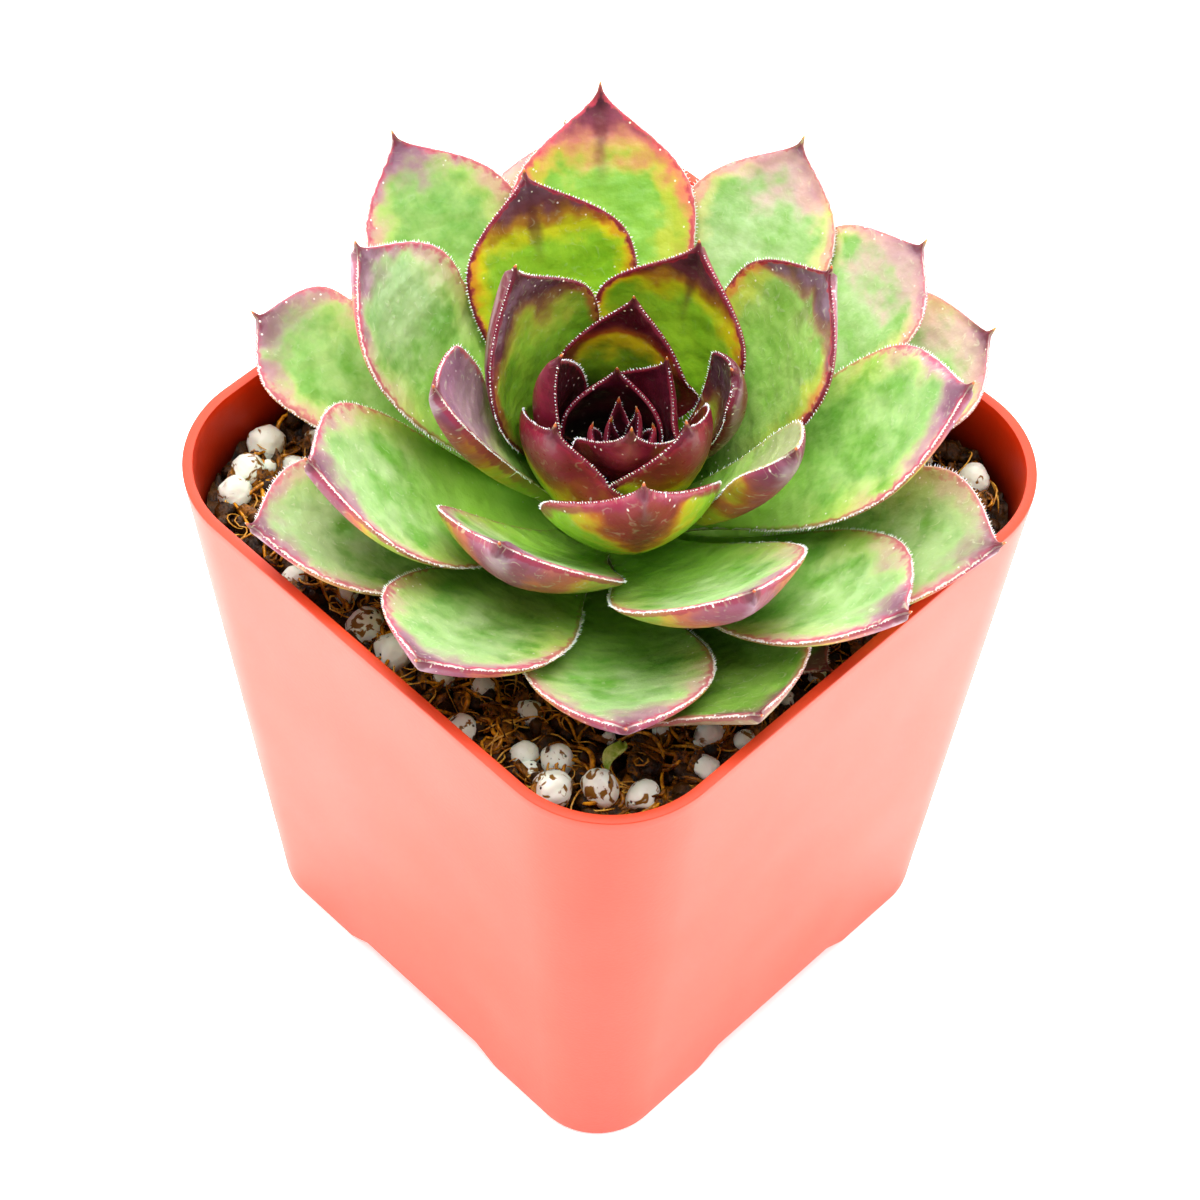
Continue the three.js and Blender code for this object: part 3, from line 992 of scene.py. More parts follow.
    def pressed(self, s: Array, v: Array) -> Array:
        """Reads the table of pressing smoothly.

        Args:
            s: Shares of the leaf's length.
            v: Shares of the half width, from -1 to 1.

        Returns:
            How far the leaf is pressed down there.
        """
        rows, columns = self.press.shape
        r, c = np.clip(s, 0, 1) * (rows - 1), (np.clip(v, -1, 1) + 1) / 2 * (columns - 1)
        r0, c0 = np.minimum(r.astype(int), rows - 2), np.minimum(c.astype(int), columns - 2)
        r1, c1 = smooth(r - r0, 0, 1), smooth(c - c0, 0, 1)
        near = mix(self.press[r0, c0], self.press[r0, c0 + 1], c1)
        far = mix(self.press[r0 + 1, c0], self.press[r0 + 1, c0 + 1], c1)
        return mix(near, far, r1)

    def lattice(self) -> tuple[Array, Array]:
        """The shares at which the table of pressing is kept."""
        rows, columns = self.press.shape
        return np.meshgrid(np.linspace(0, 1, rows), np.linspace(-1, 1, columns), indexing="ij")

    def yield_to(self, cover: "Cover") -> None:
        """Presses this leaf down wherever it would stand in an inner one.

        Args:
            cover: The inner leaf.
        """
        s, v = self.lattice()
        place, normal, _, _ = self.sheet(s, v)
        for index in np.ndindex(s.shape):
            need = cover.overlap(place[index], normal[index], self.gap)
            if need > 0:
                # The foot is fast on the stem, so it doesn't yield.
                self.press[index] += need * float(smooth(s[index], 0.05, 0.25))

    def relax(self) -> None:
        """Spreads the pressing so that the leaf bends instead of denting."""
        wanted = self.press.copy()
        for _ in range(self.passes):
            pad = np.pad(self.press, 1, mode="edge")
            spread = (pad[:-2, 1:-1] + pad[2:, 1:-1] + pad[1:-1, :-2] + pad[1:-1, 2:] + 4 * self.press) / 8
            self.press = np.maximum(wanted, spread)


@dataclass
class Cover:
    """A leaf in place, as its neighbours feel it."""

    tree: BVHTree
    depths: Array
    search: float = 4.0
    farthest: float = 2.5
    reach: float = 0.9
    steepest: float = 0.35

    @classmethod
    def of(cls, blade: Blade) -> "Cover":
        """Makes the cover of a blade.

        Args:
            blade: The leaf's form.

        Returns:
            Its upper face as quads, with the depth of flesh under each.
        """
        s, v = blade.lattice()
        place, _, _, depth = blade.sheet(s, v)
        rows, columns = s.shape
        faces, depths = [], []
        for r, c in np.ndindex(rows - 1, columns - 1):
            a = r * columns + c
            faces.append((a, a + columns, a + columns + 1, a + 1))
            depths.append(depth[r : r + 2, c : c + 2].mean())
        tree = BVHTree.FromPolygons([Vector(p) for p in place.reshape(-1, 3)], faces)
        return cls(tree, np.array(depths))

    def overlap(self, point: Array, normal: Array, gap: float) -> float:
        """Finds how far a point of a lower leaf's face has to go down.

        Args:
            point: The point.
            normal: The way the lower leaf's upper face looks there.
            gap: Air to leave between the two.

        Returns:
            The distance along the lower leaf's own normal, or 0.
        """
        spot, way, face, distance = self.tree.find_nearest(Vector(point), self.search)
        if spot is None:
            return 0.0
        way = -way if way.dot(Vector(normal)) < 0 else way
        height = (Vector(point) - spot).dot(way)
        aside = math.sqrt(max(distance**2 - height**2, 0.0))
        need = height + self.depths[face] + gap
        if need <= 0 or height > self.farthest or aside > self.reach:
            return 0.0
        return need / max(way.dot(Vector(normal)), self.steepest) * (1 - aside / self.reach)


@dataclass(frozen=True)
class Fringe:
    """The row of stiff hairs along a leaf's edge."""

    spacing: float = 0.3
    length: tuple[float, float] = (0.2, 0.38)
    radius: float = 0.08
    first: float = 0.3
    last: float = 0.975
    samples: int = 240
    root: float = 0.08

    def comb(self, blade: Blade, stamp: Stamp, hair: Material) -> Piece:
        """Makes the hairs of one leaf.

        Args:
            blade: The leaf's form.
            stamp: One hair, from 0 to 1 up its own axis.
            hair: What they are made of.

        Returns:
            The hairs.
        """
        rng = np.random.default_rng(blade.seed)
        s = np.linspace(self.first, self.last, self.samples)
        x, y, z = (stamp.points[:, i : i + 1] for i in range(3))
        placed = []
        for side in (-1.0, 1.0):
            edge, normal, _, depth = blade.sheet(s, np.full_like(s, side))
            edge = edge - normal * (depth / 2)[:, None]
            run = np.gradient(edge, axis=0)
            step = np.linalg.norm(run, axis=1)
            run /= step[:, None]
            walked = np.concatenate([[0], np.cumsum((step[1:] + step[:-1]) / 2)])
            out = np.cross(run, normal) * -side
            at = 0.0
            while at < walked[-1]:
                i = int(np.searchsorted(walked, at))
                lift, sweep = rng.normal(0.15, 0.2), rng.normal(0.12, 0.14)
                way = out[i] + run[i] * sweep + normal[i] * lift
                way /= np.linalg.norm(way)
                u = np.cross(way, normal[i])
                u /= np.linalg.norm(u)
                size = rng.uniform(*self.length) * mix(1.0, 0.6, i / len(s))
                thick = self.radius * rng.uniform(0.55, 1.2)
                foot = edge[i] - way * self.root
                w = np.cross(way, u)
                placed.append(foot + x * thick * u + y * thick * w + z * (size + self.root) * way)
                at += self.spacing * rng.uniform(0.75, 1.3)
        return stamp.copies("hairs", placed, hair)


@dataclass
class Rosette:
    """All the leaves, from the closed heart outwards."""

    hair: Material
    fringe: Fringe = Fringe()
    young_fringe: Fringe = Fringe(0.27, (0.16, 0.34), 0.1)
    heart_fringe: Fringe = Fringe(0.34, (0.12, 0.24), 0.05, 0.5)
    heart_place: tuple[float, float] = (1.2, -0.2)
    # Bearing, lean, length, width and radius of each leaf of the heart.
    heart_leaves: tuple[tuple[float, float, float, float, float], ...] = (
        (66, 5, 8.6, 2.0, 0.9), (140, 7, 8.4, 2.2, 0.9), (190, 4, 7.2, 1.7, 0.6), (330, 11, 6.4, 2.8, 1.2),
        (228, 8, 7.2, 3.6, 1.5), (36, 10, 7.6, 3.8, 1.6), (285, 14, 6.0, 3.2, 1.4),
    )
    covers: list[Cover] = field(default_factory=list)

    def build(self, skins: dict[Skin, Material]) -> None:
        """Builds every leaf.

        Args:
            skins: The material of each skin.
        """
        # One hair is a slim four-sided cone, one unit tall.
        cone = add_shape(
            "hair",
            bpy.ops.mesh.primitive_cone_add,
            vertices=4,
            radius1=1,
            radius2=0.15,
            depth=1,
            location=(0, 0, 0.5),
        )
        bpy.ops.object.transform_apply(location=True)
        stamp = Stamp.taken_from(cone)
        self.heart(skins[Skin.HEART], stamp)
        seed = 100
        for whorl in WHORLS:
            for number, leaf in enumerate(whorl.leaves, 1):
                seed += 1
                blade = Blade.of(whorl, leaf, seed)
                for cover in self.covers:
                    blade.yield_to(cover)
                blade.relax()
                fringe = self.young_fringe if leaf.skin in (INNER, DARK, VEILED, BLUSHED) else self.fringe
                parts = self.leaf(blade, leaf.mood, skins[leaf.skin], fringe, stamp)
                piece = join(parts, f"{whorl.name}_leaf_{number:02d}")
                settle(piece, f"leaf_{whorl.name}_{number:02d}")
                log.info("  pressed down by up to %.2f mm", blade.press.max())

    def heart(self, skin: Material, stamp: Stamp) -> None:
        """Builds the youngest leaves, still closed round the growing point, as one piece.

        Args:
            skin: Their skin.
            stamp: One hair.
        """
        parts = []
        for i, (bearing, lean, length, width, radius) in enumerate(self.heart_leaves):
            blade = Blade(
                bearing, lean, length, width, thickness=0.7, cup=90, curl=6, radius=radius, z=61.8,
                seed=50 + i, margin=0.3, widest=0.4, point_length=0.4, point_radius=0.16, ogee=0.3,
                aside=self.heart_place,
            )
            parts += self.leaf(blade, Mood(), skin, self.heart_fringe, stamp, 16, 26)
        settle(join(parts, "heart_leaves"), "heart")

    def leaf(
        self,
        blade: Blade,
        mood: Mood,
        skin: Material,
        fringe: Fringe,
        stamp: Stamp,
        across: int = 24,
        along: int = 56,
    ) -> list[Piece]:
        """Bends a thickened grid into one fleshy leaf and combs its hairs.

        Args:
            blade: The leaf's form.
            mood: How strongly it shows its colours.
            skin: Its skin, which reads the attributes that are stored here.
            fringe: How its hairs stand.
            stamp: One hair.
            across: Faces from edge to edge.
            along: Faces from foot to tip.

        Returns:
            The leaf and its hairs.
        """
        piece = add_grid("leaf", across, along)
        apply_modifier(piece, "SOLIDIFY", thickness=1.0, offset=-1.0)
        flat = points_of(piece)
        under = (flat[:, 2] < -0.5).astype(float)
        # The columns crowd towards the edges and the rows towards the tip.
        v = -np.sin(math.pi / 2 * np.clip(flat[:, 0], -1, 1))
        far = 1 + blade.point_length / blade.length
        s = (1 - (1 - (flat[:, 1] + 1) / 2) ** 1.45) * far
        place, normal, half, depth = blade.sheet(s, v)
        # The margin is rounded to nearly half its thickness, and the waves fade out towards it.
        edge = (1 - np.abs(v)) * half
        rim = 0.46 * np.minimum(depth, blade.margin)
        rounding = np.where(edge < rim, rim - np.sqrt(np.maximum(rim**2 - (rim - edge) ** 2, 0)), 0.0)
        waves = self.waves(blade, s, v) * np.clip(edge / 1.5, 0, 1)
        drop = mix(-rounding + waves, -depth + rounding + 0.5 * waves, under)
        place_points(piece, place + normal * drop[:, None])
        # The patterns lie in each leaf's own millimetres, far apart for each leaf and each side.
        store(piece, "place", np.stack([v * half + 37.0 * blade.seed, s * blade.length, 9.0 * under], 1))
        store(piece, "reach", np.stack([edge, (1 - s) * blade.length, under], 1))
        store(piece, "midrib", np.abs(v) * half)
        store(piece, "mood", np.tile([mood.blush, mood.streak, mood.bloom], (len(flat), 1)))
        shade_smooth(piece)
        piece.data.materials.append(skin)
        self.covers.append(Cover.of(blade))
        return [piece, fringe.comb(blade, stamp, self.hair)]

    def waves(self, blade: Blade, s: Array, v: Array) -> Array:
        """Finds the shallow waves of a fleshy face.

        Args:
            blade: The leaf's form.
            s: Shares of the leaf's length.
            v: Shares of the half width, from -1 to 1.

        Returns:
            Heights, in millimetres.
        """
        rng = np.random.default_rng(blade.seed + 5000)
        total = np.zeros_like(s)
        for reach, height in ((2.0, 0.13), (4.5, 0.07), (9.0, 0.035)):
            for _ in range(3):
                a, b, phase = rng.uniform(-reach, reach), rng.uniform(-reach, reach), rng.uniform(0, TURN)
                total += height * np.sin(a * 2 * s + b * v + phase)
        return total * blade.width / 16


# ---------------------------------------------------------------- pot


@dataclass(frozen=True)
class PotFinish:
    """Injection-moulded polypropylene: evenly tinted, satin, with a faint flow grain."""

    name: str = "moulded_polypropylene"
    body: str = "E64A24"
    flow: str = "E0421E"
    roughness: float = 0.36
    ior: float = 1.49
    # A stain colour here paints shade down the inner wall towards the mix.
    stain: str = ""

    def build(self) -> Material:
        """Makes the material.

        Returns:
            The material, darkened with painted shade towards the mix if it has a stain colour.
        """
        material, add = new_material(self.name)
        place = add("TexCoord").outputs["Object"]
        # The melt ran up the walls, so its streaks are about 3 mm wide and 20 mm tall.
        stretch = add("Mapping", {"Vector": place, "Scale": (330.0, 330.0, 50.0)})
        streaks = add("TexNoise", {"Vector": stretch, "Scale": 1.0, "Detail": 2.0})
        colour = add("Mix", {0: streaks, 6: linear(self.body), 7: linear(self.flow)}, data_type="RGBA")
        if self.stain:
            # Painted shade darkens the inner wall, from just under the rim down to the mix at 55.5 mm.
            height = add("SeparateXYZ", {0: place}).outputs[2]
            shade_share = add("MapRange", {"Value": height, "From Min": 0.062, "From Max": 0.0555, "To Max": 0.85})
            colour = add("Mix", {0: shade_share, 6: colour, 7: linear(self.stain)}, data_type="RGBA")
        # Spark-eroded mould grain, really 0.1 mm, is drawn at 0.35 mm so that it shows.
        grain = add("TexNoise", {"Vector": place, "Scale": 2800.0, "Detail": 2.0})
        waves = add("TexNoise", {"Vector": place, "Scale": 90.0, "Detail": 1.0})
        relief = add("Math", {0: waves, 1: 1.5, 2: grain}, operation="MULTIPLY_ADD")
        low, high = self.roughness - 0.04, self.roughness + 0.06
        shader = add(
            "BsdfPrincipled",
            {
                "Base Color": colour,
                "Roughness": add("MapRange", {"Value": waves, "To Min": low, "To Max": high}),
                "IOR": self.ior,
                "Normal": add("Bump", {"Height": relief, "Strength": 0.12, "Distance": 0.0001}),
                "Subsurface Weight": 0.12,
                "Subsurface Radius": (1.0, 0.35, 0.2),
                "Subsurface Scale": 0.0012,
            },
        )
        add("OutputMaterial", {"Surface": shader})
        return material


@dataclass
class Pot:
    """The thin square pot, wider at the top, with a drain under each side."""

    top_width: float = 57
    top_corner: float = 10.6
    foot_width: float = 47
    foot_corner: float = 6.5
    height: float = 62.6
    wall: float = 0.9
    floor: float = 2
    around: int = 192
    drain_depth: float = 2.1
    drain_foot: float = 22.5
    drain_roof: float = 15
    drain_reach: float = 12
    hole_radius: float = 2.2
    hole_inset: float = 6

    def outline(self, turn: Array, z: Array, inset: Array) -> Array:
        """Points round the pot.

        Args:
            turn: Shares of the way round, from 0 to 1.
            z: Heights.
            inset: Distances inwards from the outer wall.

        Returns:
            One point for each share.
        """
        share = z / self.height
        half = mix(self.foot_width, self.top_width, share) / 2 - inset
        corner = np.maximum(mix(self.foot_corner, self.top_corner, share) - inset, 0.4)
        straight = half - corner
        quarter, within = np.floor(turn * 4) % 4, turn * 4 - np.floor(turn * 4)
        # Half of each quarter of the points goes round the corner's arc, and a fourth of it to each side.
        bend = np.clip((within - 0.25) / 0.5, 0, 1) * math.pi / 2
        ahead, behind = np.clip(within / 0.25, 0, 1), np.clip((within - 0.75) / 0.25, 0, 1)
        x = straight * (1 - behind) + corner * np.cos(bend)
        y = straight * ahead + corner * np.sin(bend)
        angle = quarter * math.pi / 2
        return np.stack([x * np.cos(angle) - y * np.sin(angle), x * np.sin(angle) + y * np.cos(angle), z], -1)

    def profile(self) -> Array:
        """The wall's section as heights and insets, from under the floor over the rim and in.

        Returns:
            One row for each height.
        """
        rows = [(0.0, 9.0), (0.0, 1.0), (0.0, 0.35), (0.08, 0.12), (0.3, 0.02), (0.6, 0.0)]
        rows += [(z, 0.0) for z in np.linspace(2.5, self.height - 1.2, 14)]
        rows += [(self.height - 0.14, 0.0), (self.height - 0.06, 0.02), (self.height - 0.01, 0.07)]
        rows += [(self.height, 0.12), (self.height, self.wall - 0.08), (self.height - 0.02, self.wall - 0.02)]
        rows += [(self.height - 0.08, self.wall)]
        rows += [(z, self.wall) for z in np.linspace(self.height - 1.2, self.floor + 0.8, 10)]
        rows += [(self.floor + 0.25, self.wall + 0.2), (self.floor, self.wall + 0.9), (self.floor, 9.0)]
        return np.array(rows)

    def build(self, outside: PotFinish, inside: PotFinish, lip: PotFinish) -> None:
        """Builds the pot from a wrapped grid, closes its floor and cuts its drains.

        Args:
            outside: For the outer wall and the floor's underside.
            inside: For the inner wall, painted a darker red as its shade.
            lip: For the flat top of the rim, painted a darker red as shade.
        """
        rows = self.profile()
        piece = add_grid("square_pot", self.around, len(rows) - 1)
        flat = points_of(piece)
        row = np.rint((flat[:, 1] + 1) / 2 * (len(rows) - 1)).astype(int)
        place_points(piece, self.outline((flat[:, 0] + 1) / 2 % 1.0, rows[row, 0], rows[row, 1]))
        choose(piece)
        bpy.ops.object.mode_set(mode="EDIT")
        bpy.ops.mesh.select_all(action="SELECT")
        bpy.ops.mesh.remove_doubles(threshold=1e-6)
        bpy.ops.mesh.select_all(action="DESELECT")
        bpy.ops.mesh.select_mode(type="EDGE")
        bpy.ops.mesh.select_non_manifold()
        bpy.ops.mesh.edge_face_add()
        bpy.ops.mesh.select_all(action="SELECT")
        bpy.ops.mesh.normals_make_consistent(inside=False)
        bpy.ops.object.mode_set(mode="OBJECT")
        for side in range(4):
            for cutter in (self.channel(), self.hole()):
                cutter.data.transform(Matrix.Rotation(side * math.pi / 2, 4, "Z"))
                apply_modifier(piece, "BOOLEAN", operation="DIFFERENCE", object=cutter, solver="EXACT")
                bpy.data.objects.remove(cutter)
        choose(piece)
        bpy.ops.object.shade_smooth_by_angle(angle=math.radians(35))
        for finish in (outside, inside, lip):
            piece.data.materials.append(finish.build())
        count = len(piece.data.polygons)
        centre, facing = np.empty(3 * count), np.empty(3 * count)
        piece.data.polygons.foreach_get("center", centre)
        piece.data.polygons.foreach_get("normal", facing)
        centre, facing = centre.reshape(-1, 3), facing.reshape(-1, 3)
        # Walls that look at the axis are inner ones, and what looks up at the very top is the rim.
        inner = ((centre * facing)[:, :2].sum(1) < 0) & (centre[:, 2] > self.floor * MM)
        top = (facing[:, 2] > 0.3) & (centre[:, 2] > (self.height - 0.1) * MM)
        piece.data.polygons.foreach_set("material_index", np.where(top, 2, inner).astype(np.int32))
        settle(piece, "pot")

    def channel(self) -> Piece:
        """Models the cutter for the channel under the +Y side.

        Returns:
            The cutter, wider at the foot than at its roof.
        """
        cutter = add_shape("drain_cutter", bpy.ops.mesh.primitive_cube_add, size=2)
        box = points_of(cutter)
        width = np.where(box[:, 2] > 0, self.drain_roof, self.drain_foot) / 2
        y = np.where(box[:, 1] > 0, self.foot_width / 2 + 2, self.foot_width / 2 - self.drain_reach)
        z = np.where(box[:, 2] > 0, self.drain_depth, -0.5)
        place_points(cutter, np.stack([box[:, 0] * width, y, z], 1))
        return cutter

    def hole(self) -> Piece:
        """Models the cutter for the drain hole at the +Y side.

        Returns:
            The cutter.
        """
        cutter = add_shape(
            "hole_cutter",
            bpy.ops.mesh.primitive_cylinder_add,
            vertices=40,
            radius=self.hole_radius * MM,
            depth=3 * self.floor * MM,
            location=(0, (self.foot_width / 2 - self.hole_inset) * MM, self.floor * MM),
        )
        bpy.ops.object.transform_apply(location=True)
        return cutter


# ---------------------------------------------------------------- potting mix


@dataclass(frozen=True)
class Damp(Grained):
    """Damp peat, bark, coir or torn leaf: the darker tone is painted shade in the hollows of its bump, and
    the lighter tone a painted highlight on what sticks up.
    """

    detail: float = 5.0
    ragged: float = 0.7
    contrast: tuple[float, float] = (0.36, 0.66)
    relief: tuple[float, float] = (0.8, 0.1)
    surface: dict[str, Any] = field(default_factory=lambda: {"IOR": 1.36})


@dataclass(frozen=True)
class PerliteFinish:
    """Expanded volcanic glass: matt white froth with pits, stained by the peat round it."""

    name: str = "expanded_perlite"
    # Both whites are tinted faintly green, painted against the pot's red bounce light.
    clean: str = "F6FFF4"
    shade: str = "E8F0DE"
    stain: str = "80580A"
    pit: str = "1C0E04"

    def build(self) -> Material:
        """Makes the material.

        Returns:
            The material, which reads how soiled each grain is.
        """
        material, add = new_material(self.name)
        place = add("TexCoord").outputs["Object"]
        soiled = add("Attribute", attribute_name="soiled").outputs["Fac"]
        froth = add("TexNoise", {"Vector": place, "Scale": 900.0, "Detail": 4.0})
        colour = add("Mix", {0: froth, 6: linear(self.shade), 7: linear(self.clean)}, data_type="RGBA")
        # Peat sticks in the hollows of the froth, in blots a millimetre across.
        patches = add("TexNoise", {"Vector": place, "Scale": 760.0, "Detail": 3.0, "Distortion": 1.2})
        level = add("Math", {0: soiled, 1: 0.12, 2: patches}, operation="MULTIPLY_ADD")
        stained = add(
            "MapRange", {"Value": level, "From Min": 0.6, "From Max": 0.66}, interpolation_type="SMOOTHSTEP"
        )
        colour = add("Mix", {0: stained, 6: colour, 7: linear(self.stain)}, data_type="RGBA")
        # Burst bubbles: pits 0.2 mm across and about 0.8 mm apart.
        bubbles = add("TexVoronoi", {"Vector": place, "Scale": 1250.0})
        pits = add("MapRange", {"Value": bubbles, "From Min": 0.2, "From Max": 0.12})
        rare = add("MapRange", {"Value": froth, "From Min": 0.5, "From Max": 0.56})
        pits = add("Math", {0: pits, 1: rare}, operation="MULTIPLY")
        colour = add("Mix", {0: pits, 6: colour, 7: linear(self.pit)}, data_type="RGBA")
        relief = add("Math", {0: pits, 1: -0.8, 2: froth}, operation="MULTIPLY_ADD")
        shader = add(
            "BsdfPrincipled",
            {
                "Base Color": colour,
                "Roughness": 0.55,
                "Normal": add("Bump", {"Height": relief, "Strength": 0.6, "Distance": 0.00025}),
                "Subsurface Weight": 0.15,
                "Subsurface Scale": 0.0008,
            },
        )
        add("OutputMaterial", {"Surface": shader})
        return material


@dataclass
class PottingMix:
    """The root ball and the gritty mix that shows round the rosette."""

    edge_height: float = 56.4
    dish_height: float = 49.8
    dish: tuple[float, float] = (8, 26)
    lump: float = 0.6
    ball_half: float = 26.85
    wall_half: float = 26.9
    corner: float = 9.0
    foot_height: float = 2.3
    foot_share: float = 0.835
    fibre_half: float = 26.2
    fibre_corner: float = 8.6
    fibre_steps: int = 40
    scrap_place: tuple[float, float] = (18.9, -18.2)
    # Place along X and Y, radius and height of the middle above the soil, for each big grain.
    perlite: tuple[tuple[float, float, float, float], ...] = (
        (-25.2, -16.6, 1.6, 0.7), (-23.8, -19.8, 1.5, 0.5), (-23.1, -22, 1.6, 0.5), (-21.6, -16.7, 1.2, 0.6),
        (-12.9, -24.4, 1.2, 0.3), (-5.0, -23.5, 1.7, 0.4), (-1.5, -23.7, 1.7, 0.8), (8.0, -24.7, 1.2, 0.5),
        (10.5, -19.5, 1.2, 0.4), (17.7, -24.1, 1.7, 0.7), (20.3, -21.3, 1.6, 0.8), (22.9, -19.0, 1.4, 0.6),
        (15.6, -21.4, 1.6, 0.1), (22.6, -10.8, 1.5, 0.2), (25.0, -9.2, 1.1, 0.4), (20.0, 24.2, 1.5, 0.8),
        (23.0, 20.8, 1.2, 0.7), (-22.0, 19.4, 1.6, 0.5), (-8.0, 24.4, 1.5, 0.5), (3.2, -22.4, 1.1, 0.5),
        (13.2, -22.8, 1.2, 0.5), (6.0, -20.6, 1.0, 0.4), (-8.8, -22.2, 1.0, 0.3), (-17.6, -22.6, 1.1, 0.4),
        (24.6, -13.4, 1.1, 0.4), (25.2, 16.6, 1.3, 0.6),
    )

    def height(self, x: Any, y: Any) -> Any:
        """Finds the level of the soil: dished under the rosette and lumpy.

        Args:
            x: Places along X.
            y: Places along Y.

        Returns:
            Heights.
        """
        level = mix(self.dish_height, self.edge_height, smooth(np.hypot(x, y), *self.dish))
        rows = np.sin(0.9 * x + 1.7 * np.sin(0.31 * y))
        return level + self.lump * rows * np.cos(0.8 * y + 1.3 * np.sin(0.37 * x))

    def spots(self, count: int, seed: int, inset: float, inner: float = 9.0) -> Array:
        """Finds random places on the soil inside the pot's wall, most of them near it.

        Args:
            count: How many.
            seed: For the random numbers.
            inset: How far to keep from the wall.
            inner: How far to keep from the middle, at least.

        Returns:
            One place in each row.
        """
        rng = np.random.default_rng(seed)
        half, corner = self.wall_half - inset, self.corner - inset
        found = []
        while len(found) < count:
            x, y = rng.uniform(-half, half, 2)
            if math.hypot(*past_corner(x, y, half, corner)) > corner:
                continue
            if math.hypot(x, y) > inner + rng.uniform(0, 6):
                found.append((x, y))
        return np.array(found)

    def build(
        self,
        earth: Material,
        fibre: Material,
        straw: Material,
        bark: Material,
        perlite: Material,
        green: Material,
    ) -> None:
        """Builds the ball with its crumbs and chips, the fibres, the perlite and a scrap of leaf.

        Args:
            earth: For the ball and the crumbs.
            fibre: For the thick fibres.
            straw: For the thin ones.
            bark: For the chips.
            perlite: For the grains.
            green: For the scrap.
        """
        crumbs = self.crumbs(1500, 11, (0.35, 1.0), earth)
        chips = self.chips(620, 12, (0.6, 2.2), bark)
        settle(join([self.ball(earth), crumbs, chips], "potting_mix"), "potting_soil")
        thick = self.fibres(480, 21, 0.2, (3, 8), fibre)
        thin = self.fibres(620, 22, 0.09, (3, 8), straw)
        settle(join([thick, thin], "coir_fibres"))
        settle(self.grains(perlite))
        settle(self.scrap(green))

    def ball(self, material: Material) -> Piece:
        """Models the root ball, with a rough top and plain tapered sides.

        Args:
            material: What it is made of.

        Returns:
            The ball.
        """
        piece = add_grid("root_ball", 120, 120)
        flat = points_of(piece)
        x, y = flat[:, 0] * self.ball_half, flat[:, 1] * self.ball_half
        dx, dy = past_corner(x, y, self.ball_half, self.corner)
        rx = dx * np.sqrt(1 - (dy / self.corner) ** 2 / 2)
        ry = dy * np.sqrt(1 - (dx / self.corner) ** 2 / 2)
        x, y = np.sign(x) * (np.abs(x) - dx + rx), np.sign(y) * (np.abs(y) - dy + ry)
        # Clods about 2.4 mm wide, with crumbs of about 0.8 mm on them.
        rough = np.array([
            0.9 * noise.fractal(Vector((a * 0.42, b * 0.42, 3.1)), 0.6, 2.1, 4)
            + 0.5 * noise.noise(Vector((a * 1.3, b * 1.3, 9.7)))
            for a, b in zip(x, y)
        ])
        place_points(piece, np.stack([x, y, self.height(x, y) + rough - 0.4], 1))
        choose(piece)
        bpy.ops.object.mode_set(mode="EDIT")
        bpy.ops.mesh.select_all(action="DESELECT")
        bpy.ops.mesh.select_mode(type="EDGE")
        bpy.ops.mesh.select_non_manifold()
        bpy.ops.mesh.extrude_edges_move()
        bpy.ops.object.mode_set(mode="OBJECT")
        # The new border goes down to the pot's floor and in with its taper.
        points = points_of(piece) / MM
        points[len(flat) :, :2] *= self.foot_share
        points[len(flat) :, 2] = self.foot_height
        place_points(piece, points)
        bpy.ops.object.mode_set(mode="EDIT")
        bpy.ops.mesh.edge_face_add()
        bpy.ops.mesh.select_all(action="SELECT")
        bpy.ops.mesh.normals_make_consistent(inside=False)
        bpy.ops.object.mode_set(mode="OBJECT")
        bpy.ops.object.shade_smooth_by_angle(angle=math.radians(70))
        piece.data.materials.append(material)
        return piece

    def crumbs(self, count: int, seed: int, sizes: tuple[float, float], material: Material) -> Piece:
        """Models crumbs of peat: lumpy little stones of a few dozen faces.

        Args:
            count: How many.
            seed: For the random numbers.
            sizes: The least and the greatest radius.
            material: What they are made of.

        Returns:
            The crumbs.
        """
        ball = add_shape("crumb", bpy.ops.mesh.primitive_ico_sphere_add, subdivisions=2, radius=1)
        stamp = Stamp.taken_from(ball)
        rng = np.random.default_rng(seed)
        lumpy = stamp.points * np.array([[1 + 0.3 * noise.noise(Vector(p) * 1.7)] for p in stamp.points])
        placed = []
        for x, y in self.spots(count, seed, 0.9):
            size = rng.uniform(*sizes)
            turn = np.array(Matrix.Rotation(rng.uniform(0, TURN), 3, Vector(rng.normal(size=3))))
            shape = (lumpy * rng.uniform(0.6, 1.2, 3)) @ turn.T * size
            placed.append(shape + [x, y, self.height(x, y) + rng.uniform(-0.3, 0.45)])
        return stamp.copies("crumbs", placed, material)

